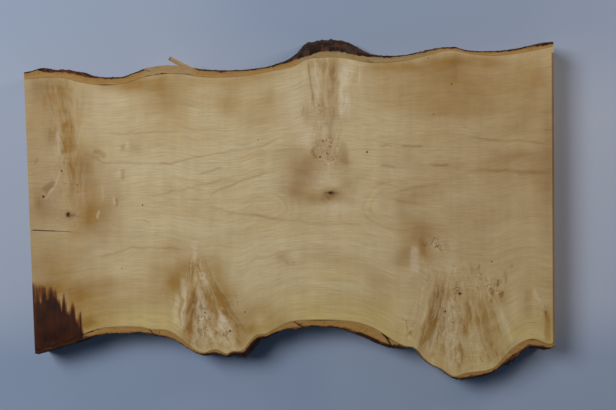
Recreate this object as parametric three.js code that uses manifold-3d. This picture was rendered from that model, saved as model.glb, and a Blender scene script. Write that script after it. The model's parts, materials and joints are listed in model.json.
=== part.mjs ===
// A live-edge slab of maple burl: one flat-sawn board with the bark still on its two long edges.
// Millimetres. X runs along the board, Y across it, +Z out of the planed face.
// The origin is the centre of the bounding box's base, so the slab lies on the plane z = 0.
import * as THREE from "three";
import { mergeVertices } from "three/addons/utils/BufferGeometryUtils.js";
import Module from "manifold-3d";

const wasm = await Module();
wasm.setup();

// Driving dimensions.
const THICKNESS = 40; // between the two sawn faces
const STATION = 4; // spacing along X of the points on a waney edge
const DEPTH_STEPS = 4; // rows of facets down an edge
const BARK_GAP = 0.5; // clearance between the bark and the wood, measured along Y
const OVERRUN = 264; // how far the log reaches each way before the ends are sawn off

// The two saw cuts across the grain: where each meets y = +160 and y = -160.
const LEFT_CUT = { top: -252.4, bottom: -239.6 };
const RIGHT_CUT = { top: 246.9, bottom: 248.5 };
const CUT_REACH = 160;

// Where the wood ends and the bark begins on the planed face, as [x, y] from left to right.
const UPPER_WOOD = [
  [-264, 123], [-250, 124.4], [-226, 126], [-213, 125.3], [-201, 122], [-188, 119.5], [-174, 118.4],
  [-158, 120.3], [-147, 123.3], [-138, 126.3], [-120, 129], [-101, 128.8], [-83, 126.4], [-62, 126.2],
  [-43, 127.4], [-16, 132.2], [0, 135.5], [9, 139.5], [15, 143], [26, 144.5], [46, 144.6], [57, 143],
  [66, 140.8], [80, 139.6], [104, 141.5], [121, 144.8], [133, 148], [144, 150.9], [154, 151.3],
  [165, 149], [176, 147.5], [191, 146.6], [209, 148], [234, 152.5], [250, 156], [264, 158],
];
const LOWER_WOOD = [
  [-264, -134], [-240, -130.2], [-228, -127.4], [-216, -124], [-204, -120], [-192, -114.4], [-180, -110.8],
  [-168, -109.3], [-142, -109.1], [-132, -111.3], [-117, -112.2], [-109, -116], [-101, -122.4], [-94, -128.2],
  [-88, -132], [-81.5, -133.6], [-75, -131.4], [-69.5, -130.6], [-61, -134.6], [-55, -132.2], [-46, -131.6],
  [-42, -127.5], [-37, -120.6], [-31, -116.4], [-24, -115.8], [-13, -109.8], [-4, -105.4], [8, -103.2],
  [32, -102.4], [53, -103.5], [66, -105.8], [75, -109], [84, -113.8], [98, -123], [109, -127.6], [114, -127.9],
  [119, -131.3], [124.5, -138], [131, -143.8], [142, -148.9], [148, -153.4], [154, -156.2], [164, -153],
  [184, -150.2], [193, -146], [199, -139], [206, -131.8], [215, -124.8], [223, -121], [230, -120.7],
  [237, -123.4], [243, -125.6], [249, -123], [264, -116],
];

// Bark thickness across the planed face, as [x, thickness]. It thins to a feather where it has broken away.
const UPPER_BARK = [
  [-264, 6], [-248, 6.4], [-238, 8.2], [-226, 6.2], [-213, 6.8], [-201, 8.2], [-186, 7.4], [-172, 7.2],
  [-158, 6], [-147, 7.2], [-138, 7.6], [-120, 7.8], [-101, 7.2], [-83, 6.8], [-60, 6], [-43, 6], [-22, 4.8],
  [-3, 6.4], [8, 7.4], [20, 8.2], [37, 8.8], [54, 8], [68, 7.2], [80, 6.6], [100, 5.2], [121, 4.8], [133, 4.2],
  [146, 3], [166, 2.6], [186, 3.8], [212, 4.3], [234, 4.8], [250, 3.6], [264, 3.4],
];
const LOWER_BARK = [
  [-264, 4.6], [-240, 4.4], [-216, 3.6], [-200, 4.8], [-188, 5.4], [-168, 6], [-146, 6], [-132, 5.2],
  [-117, 6.4], [-101, 4.2], [-90, 2], [-81, 1.4], [-70, 2.8], [-61, 1.4], [-50, 1.8], [-42, 4.6], [-35, 5.6],
  [-28, 3], [-18, 3.4], [-8, 5], [6, 7.4], [16, 6.2], [34, 6.6], [53, 8.2], [62, 10.2], [75, 10.8], [84, 10.2],
  [96, 6.6], [104, 3.4], [109, 1.8],
];
const CORNER_BARK = [
  [155, 1.4], [159, 3], [164, 5], [172, 4], [189, 3.4], [196, 4.6], [203, 7.4], [211, 10], [218, 9.4],
  [224, 6.6], [231, 6.4], [239, 4.2], [249, 3.8], [264, 4],
];

// How much wider the slab is at its lower face than at the planed one, as [x, extra]: the trunk's own round,
// and more where a burl swells below the cut.
const UPPER_SWELL = [
  [-264, 4], [-150, 3], [-40, 3], [-6, 6], [12, 12], [37, 14], [62, 12], [78, 6], [110, 3], [264, 4],
];
const LOWER_SWELL = [
  [-264, 4], [-150, 3], [-110, 5], [-60, 7], [-40, 9], [-20, 5], [20, 3], [80, 6], [110, 4], [150, 5],
  [196, 9], [214, 12], [228, 7], [264, 5],
];

// A torn strip of inner bark that stands off the upper edge, from its root to its tip.
const SLIVER = { root: [-88, 130.5], bend: [-100, 135.5], tip: [-115, 144.2], width: 3.2, depth: 1.6, down: 1.2 };

/** The height at x of a smooth curve through points that run from left to right. */
function heightAt(points, x) {
  const last = points.length - 2;
  const after = points.findIndex((p) => p[0] > x);
  const i = after < 0 ? last : Math.max(0, after - 1);
  const slope = (k) => {
    const [a, b] = [points[Math.max(0, k - 1)], points[Math.min(last + 1, k + 1)]];
    return (b[1] - a[1]) / (b[0] - a[0]);
  };
  const [x0, y0] = points[i];
  const [x1, y1] = points[i + 1];
  const span = x1 - x0;
  const t = (x - x0) / span;
  const rise = t * t * (3 - 2 * t);
  const enter = t * (1 - t) * (1 - t);
  const leave = t * t * (t - 1);
  return y0 + (y1 - y0) * rise + span * (enter * slope(i) + leave * slope(i + 1));
}

/** The stations along X from one place to another, both ends included. */
function stations(from, to) {
  const first = Math.ceil(from / STATION + 0.25) * STATION;
  const inner = [];
  for (let x = first; x < to - STATION / 4; x += STATION) inner.push(x);
  return [from, ...inner, to];
}

/** Extrudes a closed outline to the slab's thickness and spreads its foot by the edges' swell. */
function edgedSolid(outline) {
  const shape = new THREE.Shape(outline.map(([x, y]) => new THREE.Vector2(x, y)));
  const geometry = new THREE.ExtrudeGeometry(shape, { depth: THICKNESS, steps: DEPTH_STEPS, bevelEnabled: false });
  const place = geometry.getAttribute("position");
  for (let i = 0; i < place.count; i++) {
    const [x, y] = [place.getX(i), place.getY(i)];
    const depth = 1 - (place.getZ(i) / THICKNESS) ** 2;
    const swell = y > 0 ? heightAt(UPPER_SWELL, x) : -heightAt(LOWER_SWELL, x);
    place.setY(i, y + swell * depth);
  }
  return geometry;
}

/** The strip of bark between an edge of the wood and its own outer face; side is +1 on the upper edge. */
function barkStrip(edge, thickness, side, from, to) {
  const xs = stations(from, to);
  const inner = xs.map((x) => [x, heightAt(edge, x) + side * BARK_GAP]);
  const outer = xs.map((x) => [x, heightAt(edge, x) + side * heightAt(thickness, x)]);
  return edgedSolid([...inner, ...outer.reverse()]);
}

/** A closed three.js geometry as a manifold-3d solid. */
function solidOf(geometry) {
  const bare = geometry.clone().deleteAttribute("normal").deleteAttribute("uv");
  const merged = mergeVertices(bare, 1e-3);
  const mesh = new wasm.Mesh({
    numProp: 3,
    vertProperties: merged.getAttribute("position").array,
    triVerts: new Uint32Array(merged.index.array),
  });
  return new wasm.Manifold(mesh);
}

/** A manifold-3d solid as a three.js geometry. */
function geometryOf(solid) {
  const mesh = solid.getMesh();
  const geometry = new THREE.BufferGeometry();
  geometry.setAttribute("position", new THREE.BufferAttribute(mesh.vertProperties, 3));
  geometry.setIndex(new THREE.BufferAttribute(mesh.triVerts, 1));
  return geometry;
}

/** The block between the two saw cuts, taller than the slab: what it doesn't hold is cut away. */
function sawnBlock() {
  const corners = [
    [LEFT_CUT.bottom, -1], [RIGHT_CUT.bottom, -1], [RIGHT_CUT.top, 1], [LEFT_CUT.top, 1],
  ];
  const margin = 40;
  const stretch = (CUT_REACH + margin) / CUT_REACH;
  const middle = { left: (LEFT_CUT.top + LEFT_CUT.bottom) / 2, right: (RIGHT_CUT.top + RIGHT_CUT.bottom) / 2 };
  const points = corners.map(([x, end]) => {
    const centre = x < 0 ? middle.left : middle.right;
    return new THREE.Vector2(centre + (x - centre) * stretch, end * CUT_REACH * stretch);
  });
  const block = new THREE.ExtrudeGeometry(new THREE.Shape(points), { depth: 2 * THICKNESS, bevelEnabled: false });
  return solidOf(block.translate(0, 0, -THICKNESS / 2));
}

/** The torn strip of inner bark, swept from its root in the bark to its free tip. */
function sliver() {
  const { root, bend, tip, width, depth, down } = SLIVER;
  const path = new THREE.QuadraticBezierCurve3(
    new THREE.Vector3(...root, THICKNESS - down),
    new THREE.Vector3(...bend, THICKNESS - down),
    new THREE.Vector3(...tip, THICKNESS - down),
  );
  const [w, d] = [depth / 2, width / 2];
  const section = new THREE.Shape([
    new THREE.Vector2(-w, -d), new THREE.Vector2(w, -d), new THREE.Vector2(w, d), new THREE.Vector2(-w, d),
  ]);
  const swept = new THREE.ExtrudeGeometry(section, { steps: 6, extrudePath: path, bevelEnabled: false });
  return solidOf(swept);
}

const woodColour = { color: 0xb59a6a, roughness: 0.55, metalness: 0 };
const barkColour = { color: 0x5a3a24, roughness: 0.9, metalness: 0 };

/** A named mesh of a sawn solid. */
function piece(name, solid, colour) {
  const mesh = new THREE.Mesh(geometryOf(solid), new THREE.MeshStandardMaterial(colour));
  mesh.name = name;
  return mesh;
}

const block = sawnBlock();
const along = stations(-OVERRUN, OVERRUN);
const woodOutline = [
  ...along.map((x) => [x, heightAt(LOWER_WOOD, x)]),
  ...along.map((x) => [x, heightAt(UPPER_WOOD, x)]).reverse(),
];
const wood = solidOf(edgedSolid(woodOutline)).intersect(block);
const upperBark = solidOf(barkStrip(UPPER_WOOD, UPPER_BARK, 1, -OVERRUN, OVERRUN)).add(sliver()).intersect(block);
const lowerBark = solidOf(barkStrip(LOWER_WOOD, LOWER_BARK, -1, -OVERRUN, 109)).intersect(block);
const cornerBark = solidOf(barkStrip(LOWER_WOOD, CORNER_BARK, -1, 155, OVERRUN)).intersect(block);

const slab = new THREE.Group();
slab.add(
  piece("maple_wood", wood, woodColour),
  piece("bark_upper_edge", upperBark, barkColour),
  piece("bark_lower_edge", lowerBark, barkColour),
  piece("bark_lower_corner", cornerBark, barkColour),
);

// Put the centre of the bounding box's base at the origin.
const box = new THREE.Box3().setFromObject(slab);
slab.position.set(-(box.min.x + box.max.x) / 2, -(box.min.y + box.max.y) / 2, -box.min.z);

export default slab;
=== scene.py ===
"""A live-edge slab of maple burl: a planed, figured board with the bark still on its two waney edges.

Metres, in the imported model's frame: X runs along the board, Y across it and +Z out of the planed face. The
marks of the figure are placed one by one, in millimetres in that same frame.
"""

import json
import logging
from collections.abc import Iterator
from contextlib import contextmanager
from dataclasses import dataclass, field
from enum import Enum

import bpy
import numpy as np
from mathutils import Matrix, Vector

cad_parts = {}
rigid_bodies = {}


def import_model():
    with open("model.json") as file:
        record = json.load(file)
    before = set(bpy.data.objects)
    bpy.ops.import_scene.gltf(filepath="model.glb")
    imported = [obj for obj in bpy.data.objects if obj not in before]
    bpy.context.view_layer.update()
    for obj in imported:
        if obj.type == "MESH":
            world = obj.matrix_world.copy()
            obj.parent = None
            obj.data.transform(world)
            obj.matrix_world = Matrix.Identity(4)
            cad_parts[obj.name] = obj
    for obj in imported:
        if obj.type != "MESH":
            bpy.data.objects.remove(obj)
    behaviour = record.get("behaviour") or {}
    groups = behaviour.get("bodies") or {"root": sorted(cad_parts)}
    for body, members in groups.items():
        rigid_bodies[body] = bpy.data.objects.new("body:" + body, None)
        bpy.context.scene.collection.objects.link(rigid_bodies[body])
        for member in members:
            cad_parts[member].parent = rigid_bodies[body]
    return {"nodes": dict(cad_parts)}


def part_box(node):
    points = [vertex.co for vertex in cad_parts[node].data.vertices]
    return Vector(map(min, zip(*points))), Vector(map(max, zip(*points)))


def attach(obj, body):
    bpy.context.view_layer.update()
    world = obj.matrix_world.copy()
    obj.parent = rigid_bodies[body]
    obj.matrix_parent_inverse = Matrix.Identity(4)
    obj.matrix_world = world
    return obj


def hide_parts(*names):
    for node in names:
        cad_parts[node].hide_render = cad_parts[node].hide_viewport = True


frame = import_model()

MM = 0.001
WELD_GAP = 0.001 * MM
# A slanting cut ties a place's x to its y, and its edge ties y to x, so both are settled in this many rounds.
SETTLE_STEPS = 6
BODY = "root"

Point = tuple[float, float]
Colour = tuple[float, float, float, float]

log = logging.getLogger("maple_slab")


# ---------------------------------------------------------------- sums shared by every piece


def blend(low: float | np.ndarray, high: float | np.ndarray, x: np.ndarray) -> np.ndarray:
    """A smooth step of x, from 0 at low to 1 at high."""
    part = np.clip((x - low) / (high - low), 0.0, 1.0)
    return part * part * (3.0 - 2.0 * part)


def mix(a: np.ndarray, b: np.ndarray, part: np.ndarray) -> np.ndarray:
    """The value that lies that part of the way from a to b."""
    return a + (b - a) * part


def lattice_noise(points: np.ndarray, seed: int) -> np.ndarray:
    """Smooth noise with about one bump to a unit.

    Args:
        points: Places to read it at, one row of x, y, z each.
        seed: Which of the many noises to read.

    Returns:
        One value from -1 to 1 for each place.
    """
    cell = np.floor(points).astype(np.int64)
    part = points - cell
    ease = part * part * (3.0 - 2.0 * part)
    total = np.zeros(len(points))
    for corner in range(8):
        step = np.array([(corner >> axis) & 1 for axis in range(3)])
        at = cell + step
        code = at[:, 0] * 73856093 ^ at[:, 1] * 19349663 ^ at[:, 2] * 83492791 ^ (seed * 2654435761)
        code = (code ^ (code >> 13)) * 1274126177 & 0xFFFFFFFF
        value = ((code ^ (code >> 16)) & 0xFFFF) / 32767.5 - 1.0
        total += np.prod(np.where(step, ease, 1.0 - ease), axis=1) * value
    return total


def crags(points: np.ndarray, seed: int, octaves: int = 3) -> np.ndarray:
    """Noise with finer and finer bumps on it, each octave half as high as the one before.

    Args:
        points: Rows of places, one bump or so to each unit.
        seed: Picks one of many patterns.
        octaves: How many times finer bumps are added.

    Returns:
        The height at each place.
    """
    total = np.zeros(len(points))
    for octave in range(octaves):
        total += lattice_noise(points * 2.0**octave, seed + octave) * 0.5**octave
    return total


def columns(*values: np.ndarray | float) -> np.ndarray:
    """Rows of x, y, z made of three arrays or numbers."""
    return np.stack(np.broadcast_arrays(*values), axis=-1).astype(float)


# ---------------------------------------------------------------- mesh work


def begin() -> None:
    """Leaves edit mode with nothing selected, because an operator acts on all that is."""
    if bpy.context.object and bpy.context.object.mode != "OBJECT":
        bpy.ops.object.mode_set(mode="OBJECT")
    bpy.ops.object.select_all(action="DESELECT")


def take(piece: bpy.types.Object) -> None:
    """Makes one piece the only one selected.

    Args:
        piece: The piece to select.
    """
    begin()
    piece.select_set(True)
    bpy.context.view_layer.objects.active = piece


def places(piece: bpy.types.Object) -> np.ndarray:
    """The piece's vertices as rows of x, y, z.

    Args:
        piece: The piece.

    Returns:
        One row for each vertex.
    """
    flat = np.zeros(len(piece.data.vertices) * 3)
    piece.data.vertices.foreach_get("co", flat)
    return flat.reshape(-1, 3)


def place(piece: bpy.types.Object, points: np.ndarray) -> None:
    """Puts the piece's vertices at the given rows of x, y, z."""
    piece.data.vertices.foreach_set("co", points.astype(np.float32).ravel())
    piece.data.update()


def paint(piece: bpy.types.Object, name: str, values: np.ndarray) -> None:
    """Stores three numbers on every vertex for the piece's finish to read."""
    layer = piece.data.attributes.new(name, "FLOAT_VECTOR", "POINT")
    layer.data.foreach_set("vector", values.astype(np.float32).ravel())


def sheet(name: str, along: int, across: int) -> bpy.types.Object:
    """A unit square grid that lies flat round the origin, ready to be shaped.

    Args:
        name: The piece's name.
        along: How many cells it has in X.
        across: How many cells it has in Y.

    Returns:
        The new grid.
    """
    begin()
    bpy.ops.mesh.primitive_grid_add(x_subdivisions=along, y_subdivisions=across, size=1.0)
    piece = bpy.context.object
    piece.name = name
    piece.data.name = name
    return piece


@contextmanager
def editing(piece: bpy.types.Object) -> Iterator[None]:
    """Opens one piece for editing with all of it selected, and closes it again.

    Args:
        piece: The piece to open.

    Returns:
        The state for a with statement.
    """
    take(piece)
    bpy.ops.object.mode_set(mode="EDIT")
    bpy.ops.mesh.select_all(action="SELECT")
    yield
    bpy.ops.object.mode_set(mode="OBJECT")


def weld(piece: bpy.types.Object) -> None:
    """Joins the corners that lie on each other and fills the holes that are left.

    Args:
        piece: The piece.
    """
    with editing(piece):
        bpy.ops.mesh.remove_doubles(threshold=WELD_GAP)
        bpy.ops.mesh.fill_holes(sides=0)


def close(piece: bpy.types.Object, smooth_angle: float) -> None:
    """Turns the faces outwards and rounds the shading where they meet at less than an angle in radians.

    Args:
        piece: The piece.
        smooth_angle: The angle, in radians, under which a crease is smoothed.
    """
    with editing(piece):
        bpy.ops.mesh.normals_make_consistent(inside=False)
    bpy.ops.object.shade_smooth_by_angle(angle=smooth_angle)


def cut(piece: bpy.types.Object, cutter: bpy.types.Object) -> None:
    """Takes the cutter's shape out of the piece, and throws the cutter away.

    Args:
        piece: The piece that is cut.
        cutter: The closed solid to take out of it.
    """
    take(piece)
    cutting = piece.modifiers.new("cut", "BOOLEAN")
    cutting.operation = "DIFFERENCE"
    cutting.solver = "EXACT"
    cutting.object = cutter
    bpy.ops.object.modifier_apply(modifier=cutting.name)
    bpy.data.objects.remove(cutter)


# ---------------------------------------------------------------- the shader as plain sums


class Value:
    """A socket of a node tree, with arithmetic written as plain sums."""

    def __init__(self, shader: "Shader", socket: bpy.types.NodeSocket) -> None:
        """Wraps a socket.

        Args:
            shader: The finish that the value belongs to.
            socket: The output that carries it.
        """
        self.shader = shader
        self.socket = socket

    def sum(self, operation: str, *others: "Value | float") -> "Value":
        """The result of one Math node fed with this value and the others."""
        return self.shader.math(operation, self, *others)

    def __add__(self, other: "Value | float") -> "Value":
        """This value plus another."""
        return self.sum("ADD", other)

    def __sub__(self, other: "Value | float") -> "Value":
        """This value less another."""
        return self.sum("SUBTRACT", other)

    def __mul__(self, other: "Value | float") -> "Value":
        """This value times another."""
        return self.sum("MULTIPLY", other)

    def __truediv__(self, other: "Value | float") -> "Value":
        """This value divided by another."""
        return self.sum("DIVIDE", other)

    def __rsub__(self, other: float) -> "Value":
        """A number less this value."""
        return self.shader.math("SUBTRACT", other, self)

    __radd__ = __add__
    __rmul__ = __mul__

    def most(self, other: "Value | float") -> "Value":
        """The larger of this value and another."""
        return self.sum("MAXIMUM", other)

    def size(self) -> "Value":
        """This value without its sign."""
        return self.sum("ABSOLUTE")

    def held(self) -> "Value":
        """This value kept between 0 and 1."""
        return self.sum("ADD", 0.0).clamped()

    def clamped(self) -> "Value":
        """Switches on the clamp of the node that made this value."""
        self.socket.node.use_clamp = True
        return self

    def step(self, low: float, high: float) -> "Value":
        """A smooth step from 0 where this value is low to 1 where it is high.

        Args:
            low: Where the step starts. It may lie above the high end, and the step then falls.
            high: Where the step is done.

        Returns:
            The stepped value.
        """
        settings = {"interpolation_type": "SMOOTHSTEP"}
        inputs = {"Value": self, "From Min": min(low, high), "From Max": max(low, high)}
        if low > high:
            inputs |= {"To Min": 1.0, "To Max": 0.0}
        return self.shader.node("ShaderNodeMapRange", settings, inputs)


class Shader:
    """One material and the nodes that make its finish."""

    def __init__(self, name: str) -> None:
        """Makes an empty material.

        Args:
            name: The material's name.
        """
        self.material = bpy.data.materials.new(name)
        self.material.use_nodes = True
        self.tree = self.material.node_tree
        self.tree.nodes.clear()

    def node(
        self,
        kind: str,
        settings: dict[str, object] | None = None,
        inputs: dict[str | int, object] | None = None,
        output: str | int = 0,
    ) -> Value:
        """Adds a node.

        Args:
            kind: The node's type.
            settings: Its own properties, which are set first. "stops" fills a colour ramp.
            inputs: Numbers, colours or values for its sockets.
            output: The socket that is handed back.

        Returns:
            The chosen output.
        """
        made = self.tree.nodes.new(kind)
        for name, setting in (settings or {}).items():
            if name == "stops":
                self.fill_ramp(made.color_ramp, setting)
            else:
                setattr(made, name, setting)
        for name, value in (inputs or {}).items():
            if isinstance(value, Value):
                self.tree.links.new(value.socket, made.inputs[name])
            else:
                made.inputs[name].default_value = value
        return Value(self, made.outputs[output])

    @staticmethod
    def fill_ramp(ramp: bpy.types.ColorRamp, stops: list[tuple[float, Colour]]) -> None:
        """Gives a colour ramp its stops, from left to right.

        Args:
            ramp: The ramp.
            stops: Each stop as its place from 0 to 1 and its colour.
        """
        for index, (position, colour) in enumerate(stops):
            stop = ramp.elements[index] if index < len(ramp.elements) else ramp.elements.new(position)
            stop.position = position
            stop.color = colour

    def math(self, operation: str, *values: Value | float) -> Value:
        """One Math node."""
        return self.node("ShaderNodeMath", {"operation": operation}, dict(enumerate(values)))

    def vector(self, x: Value | float, y: Value | float, z: Value | float = 0.0) -> Value:
        """Three numbers as one vector."""
        return self.node("ShaderNodeCombineXYZ", None, {"X": x, "Y": y, "Z": z})

    def parts(self, vector: Value) -> tuple[Value, Value, Value]:
        """The three numbers of a vector.

        Args:
            vector: The vector.

        Returns:
            Its x, y and z.
        """
        made = self.node("ShaderNodeSeparateXYZ", None, {0: vector})
        outputs = made.socket.node.outputs
        return Value(self, outputs[0]), Value(self, outputs[1]), Value(self, outputs[2])

    def painted(self, name: str) -> tuple[Value, Value, Value]:
        """The three numbers that a piece's mesh holds under a name."""
        return self.parts(self.node("ShaderNodeAttribute", {"attribute_name": name}, None, "Vector"))

    def point(self) -> Value:
        """The place on the piece, in metres."""
        return self.node("ShaderNodeTexCoord", None, None, "Object")

    def normal(self) -> tuple[Value, Value, Value]:
        """The way that the surface faces."""
        return self.parts(self.node("ShaderNodeNewGeometry", None, None, "Normal"))

    def noise(self, at: Value, scale: float, detail: float = 3.0, swirl: float = 0.0) -> Value:
        """Cloudy noise from 0 to 1, with its middle near a half."""
        inputs = {"Vector": at, "Scale": scale, "Detail": detail, "Distortion": swirl}
        return self.node("ShaderNodeTexNoise", None, inputs, 0)

    def strokes(self, dark_lines: "tuple[DarkLine, ...]", x: Value, y: Value) -> Value:
        """Thin dark lines, from 0 to 1.

        Args:
            dark_lines: The lines.
            x: The place along the board, in metres.
            y: The place across it, in metres.

        Returns:
            How dark the lines are at the place.
        """
        total: Value | float = 0.0
        for dark_line in dark_lines:
            start, end = np.array(dark_line.start) * MM, np.array(dark_line.end) * MM
            length = float(np.hypot(*(end - start)))
            way = (end - start) / length
            dx, dy = x - float(start[0]), y - float(start[1])
            t = (dx * float(way[0]) + dy * float(way[1])).most(0.0).sum("MINIMUM", length)
            ox, oy = dx - t * float(way[0]), dy - t * float(way[1])
            off = (ox * ox + oy * oy).sum("SQRT")
            half = dark_line.width * MM / 2.0
            total = off.step(half * 1.8, half * 0.5) * dark_line.dark + total
        return total

    def mixed(self, part: Value | float, a: Value | Colour, b: Value | Colour, way: str = "MIX") -> Value:
        """Two colours mixed by a part from 0 to 1."""
        settings = {"data_type": "RGBA", "blend_type": way}
        return self.node("ShaderNodeMix", settings, {0: part, 6: a, 7: b}, 2)

    def stained(self, colour: Value, part: Value | float, tint: Colour) -> Value:
        """A colour multiplied by a tint, as far as part says."""
        return self.mixed(part, colour, tint, "MULTIPLY")

    def finish(
        self, colour: Value, roughness: Value, height: Value, depth: float, sheen: float = 0.15
    ) -> bpy.types.Material:
        """Joins everything to a Principled surface.

        Args:
            colour: The base colour.
            roughness: From 0, polished, to 1, matt.
            height: The fine relief, from 0 to 1.
            depth: How far that relief stands out, in metres.
            sheen: How strongly the surface reflects; a half is like plastic.

        Returns:
            The finished material.
        """
        bump = self.node("ShaderNodeBump", None, {"Strength": 1.0, "Distance": depth, "Height": height})
        inputs = {"Base Color": colour, "Roughness": roughness, "Normal": bump, "Specular IOR Level": sheen}
        surface = self.node("ShaderNodeBsdfPrincipled", None, inputs)
        output = self.tree.nodes.new("ShaderNodeOutputMaterial")
        self.tree.links.new(surface.socket, output.inputs["Surface"])
        return self.material


# ---------------------------------------------------------------- the slab's outline


class Side(Enum):
    """The two long edges of the board."""

    UPPER = 1
    LOWER = -1


class Curve:
    """A smooth line along the board, which gives y for any x."""

    closest = 0.8 * MM

    def __init__(self, points: np.ndarray) -> None:
        """Sorts the points and works out their slopes.

        Args:
            points: Rows that lie on the line, in any order. Those that crowd the one before are left out.
        """
        order = points[np.argsort(points[:, 0])]
        kept = [order[0]]
        for row in order[1:]:
            if row[0] - kept[-1][0] > self.closest:
                kept.append(row)
        rows = np.array(kept)
        self.x, self.y = rows[:, 0], rows[:, 1]
        self.slope = np.gradient(self.y, self.x)

    def at(self, x: np.ndarray) -> np.ndarray:
        """The curve's y at each x.

        Args:
            x: The places along the board, in metres.

        Returns:
            The line's y there. Past its ends the line runs on straight.
        """
        inside = np.clip(x, self.x[0], self.x[-1])
        i = np.clip(np.searchsorted(self.x, inside) - 1, 0, len(self.x) - 2)
        span = self.x[i + 1] - self.x[i]
        t = (inside - self.x[i]) / span
        rise = mix(self.y[i], self.y[i + 1], t * t * (3.0 - 2.0 * t))
        enter = t * (1.0 - t) ** 2 * self.slope[i]
        leave = t * t * (t - 1.0) * self.slope[i + 1]
        beyond = (x - inside) * np.where(x < self.x[0], self.slope[0], self.slope[-1])
        return rise + span * (enter + leave) + beyond


class Outline:
    """The board's edges and saw cuts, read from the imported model."""

    gap_limit = 0.95 * MM
    level_slack = 0.02 * MM

    def __init__(self) -> None:
        """Reads the wood's two edges, on the face and on the underside, and the two saw cuts."""
        self.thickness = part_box("maple_wood")[1].z
        self.wood = {}
        for side in Side:
            self.wood[side] = [self.wood_line(side, level) for level in (self.thickness, 0.0)]
        upper, lower = (self.wood[side][0] for side in (Side.UPPER, Side.LOWER))
        self.cuts = [
            ((lower.x[end], lower.y[end]), (upper.x[end], upper.y[end])) for end in (0, -1)
        ]

    def level_points(self, node: str, level: float) -> np.ndarray:
        """The node's vertices that lie at a height."""
        points = places(frame["nodes"][node])
        return points[np.abs(points[:, 2] - level) < self.level_slack]

    def wood_line(self, side: Side, level: float) -> Curve:
        """The edge of the wood at a height."""
        points = self.level_points("maple_wood", level)
        return Curve(points[points[:, 1] * side.value > 0.0])

    def bark_line(self, node: str, side: Side, level: float) -> Curve:
        """The outer edge of a strip of bark at a height.

        Args:
            node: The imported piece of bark.
            side: The edge that it is on.
            level: The height, which is that of the face or of the underside.

        Returns:
            The strip's outer edge.
        """
        points = self.level_points(node, level)
        wood = self.wood[side][0 if level > 0.0 else 1].at(points[:, 0])
        return Curve(points[(points[:, 1] - wood) * side.value > self.gap_limit])

    def belly(self, z: np.ndarray) -> np.ndarray:
        """How far an edge has swung from its line on the planed face to its line on the underside."""
        return 1.0 - (np.clip(z, 0.0, self.thickness) / self.thickness) ** 2

    def wood_edge(self, side: Side, x: np.ndarray, z: np.ndarray) -> np.ndarray:
        """The y of the wood's edge."""
        top, foot = self.wood[side]
        return mix(top.at(x), foot.at(x), self.belly(z))

    def cut_x(self, end: int, y: np.ndarray) -> np.ndarray:
        """Where a saw cut is at y; end is 0 for the left cut and 1 for the right one."""
        (x0, y0), (x1, y1) = self.cuts[end]
        return x0 + (x1 - x0) * (y - y0) / (y1 - y0)


# ---------------------------------------------------------------- marks of the figure


class Tint(Enum):
    """What a mark does to the wood's colour."""

    BROWN = 0
    GOLD = 1
    CREAM = 2
    CURL = 3
    SAP = 4
    STAIN = 5
    GREY = 6


@dataclass(frozen=True)
class Cloud:
    """A soft oval patch. Millimetres, and its turn in degrees."""

    tint: Tint
    at: Point
    reach: Point
    strength: float
    turn: float = 0.0

    def cover(self, x: np.ndarray, y: np.ndarray) -> np.ndarray:
        """How much of the tint lies at each place, from 0 to 1.

        Args:
            x: The places along the board, in millimetres.
            y: The places across the board, in millimetres.

        Returns:
            The share of the tint.
        """
        angle = np.radians(self.turn)
        dx, dy = x - self.at[0], y - self.at[1]
        u = (dx * np.cos(angle) + dy * np.sin(angle)) / self.reach[0]
        v = (dy * np.cos(angle) - dx * np.sin(angle)) / self.reach[1]
        return self.strength * np.exp(-1.3 * (u * u + v * v))


@dataclass(frozen=True)
class Streak:
    """A band along a path, which may widen from its start to its end. Millimetres."""

    tint: Tint
    path: tuple[Point, ...]
    width: Point
    strength: float
    soft: float = 1.6
    fade: Point = (0.2, 0.2)

    def cover(self, x: np.ndarray, y: np.ndarray) -> np.ndarray:
        """How much of the tint lies at each place, from 0 to 1.

        Args:
            x: The places along the board, in millimetres.
            y: The places across the board, in millimetres.

        Returns:
            The share of the tint.
        """
        points = np.array(self.path)
        steps = np.hypot(*np.diff(points, axis=0).T)
        total = steps.sum()
        best = np.zeros_like(x)
        gone = 0.0
        first, last = self.fade
        for start, end, length in zip(points[:-1], points[1:], steps):
            way = (end - start) / length
            t = np.clip((x - start[0]) * way[0] + (y - start[1]) * way[1], 0.0, length)
            off = np.hypot(x - start[0] - t * way[0], y - start[1] - t * way[1])
            half = mix(self.width[0], self.width[1], (gone + t) / total) / 2.0
            within = 1.0 - blend(half - self.soft / 2.0, half + self.soft / 2.0, off)
            far = (gone + t) / total
            ends = blend(-0.02, first, far) * (1.0 - blend(1.0 - last, 1.02, far))
            best = np.maximum(best, within * ends)
            gone += length
        return self.strength * best


@dataclass(frozen=True)
class Fan:
    """A burl's fan of upright fibres, from its narrow root to its wide foot on the bark. Millimetres."""

    root: Point
    foot: Point
    half: Point
    strength: float = 1.0

    def read(self, x: np.ndarray, y: np.ndarray) -> np.ndarray:
        """The place across the fan, the place along it and how much it shows, in columns.

        Args:
            x: The places along the board, in millimetres.
            y: The places across the board, in millimetres.

        Returns:
            One row for each place.
        """
        start, end = np.array(self.root), np.array(self.foot)
        length = np.hypot(*(end - start))
        way = (end - start) / length
        t = (x - start[0]) * way[0] + (y - start[1]) * way[1]
        off = (y - start[1]) * way[0] - (x - start[0]) * way[1]
        half = mix(self.half[0], self.half[1], np.clip(t / length, 0.0, 1.2))
        shown = (1.0 - blend(0.7, 1.15, np.abs(off) / half)) * blend(-0.15, 0.12, t / length)
        return columns(off / half * np.mean(self.half), t, shown * self.strength)


@dataclass(frozen=True)
class Knot:
    """A hole in the planed face: a pinhole, or the heart of a knot. Millimetres."""

    at: Point
    reach: Point
    depth: float
    dark: float = 1.0


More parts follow.
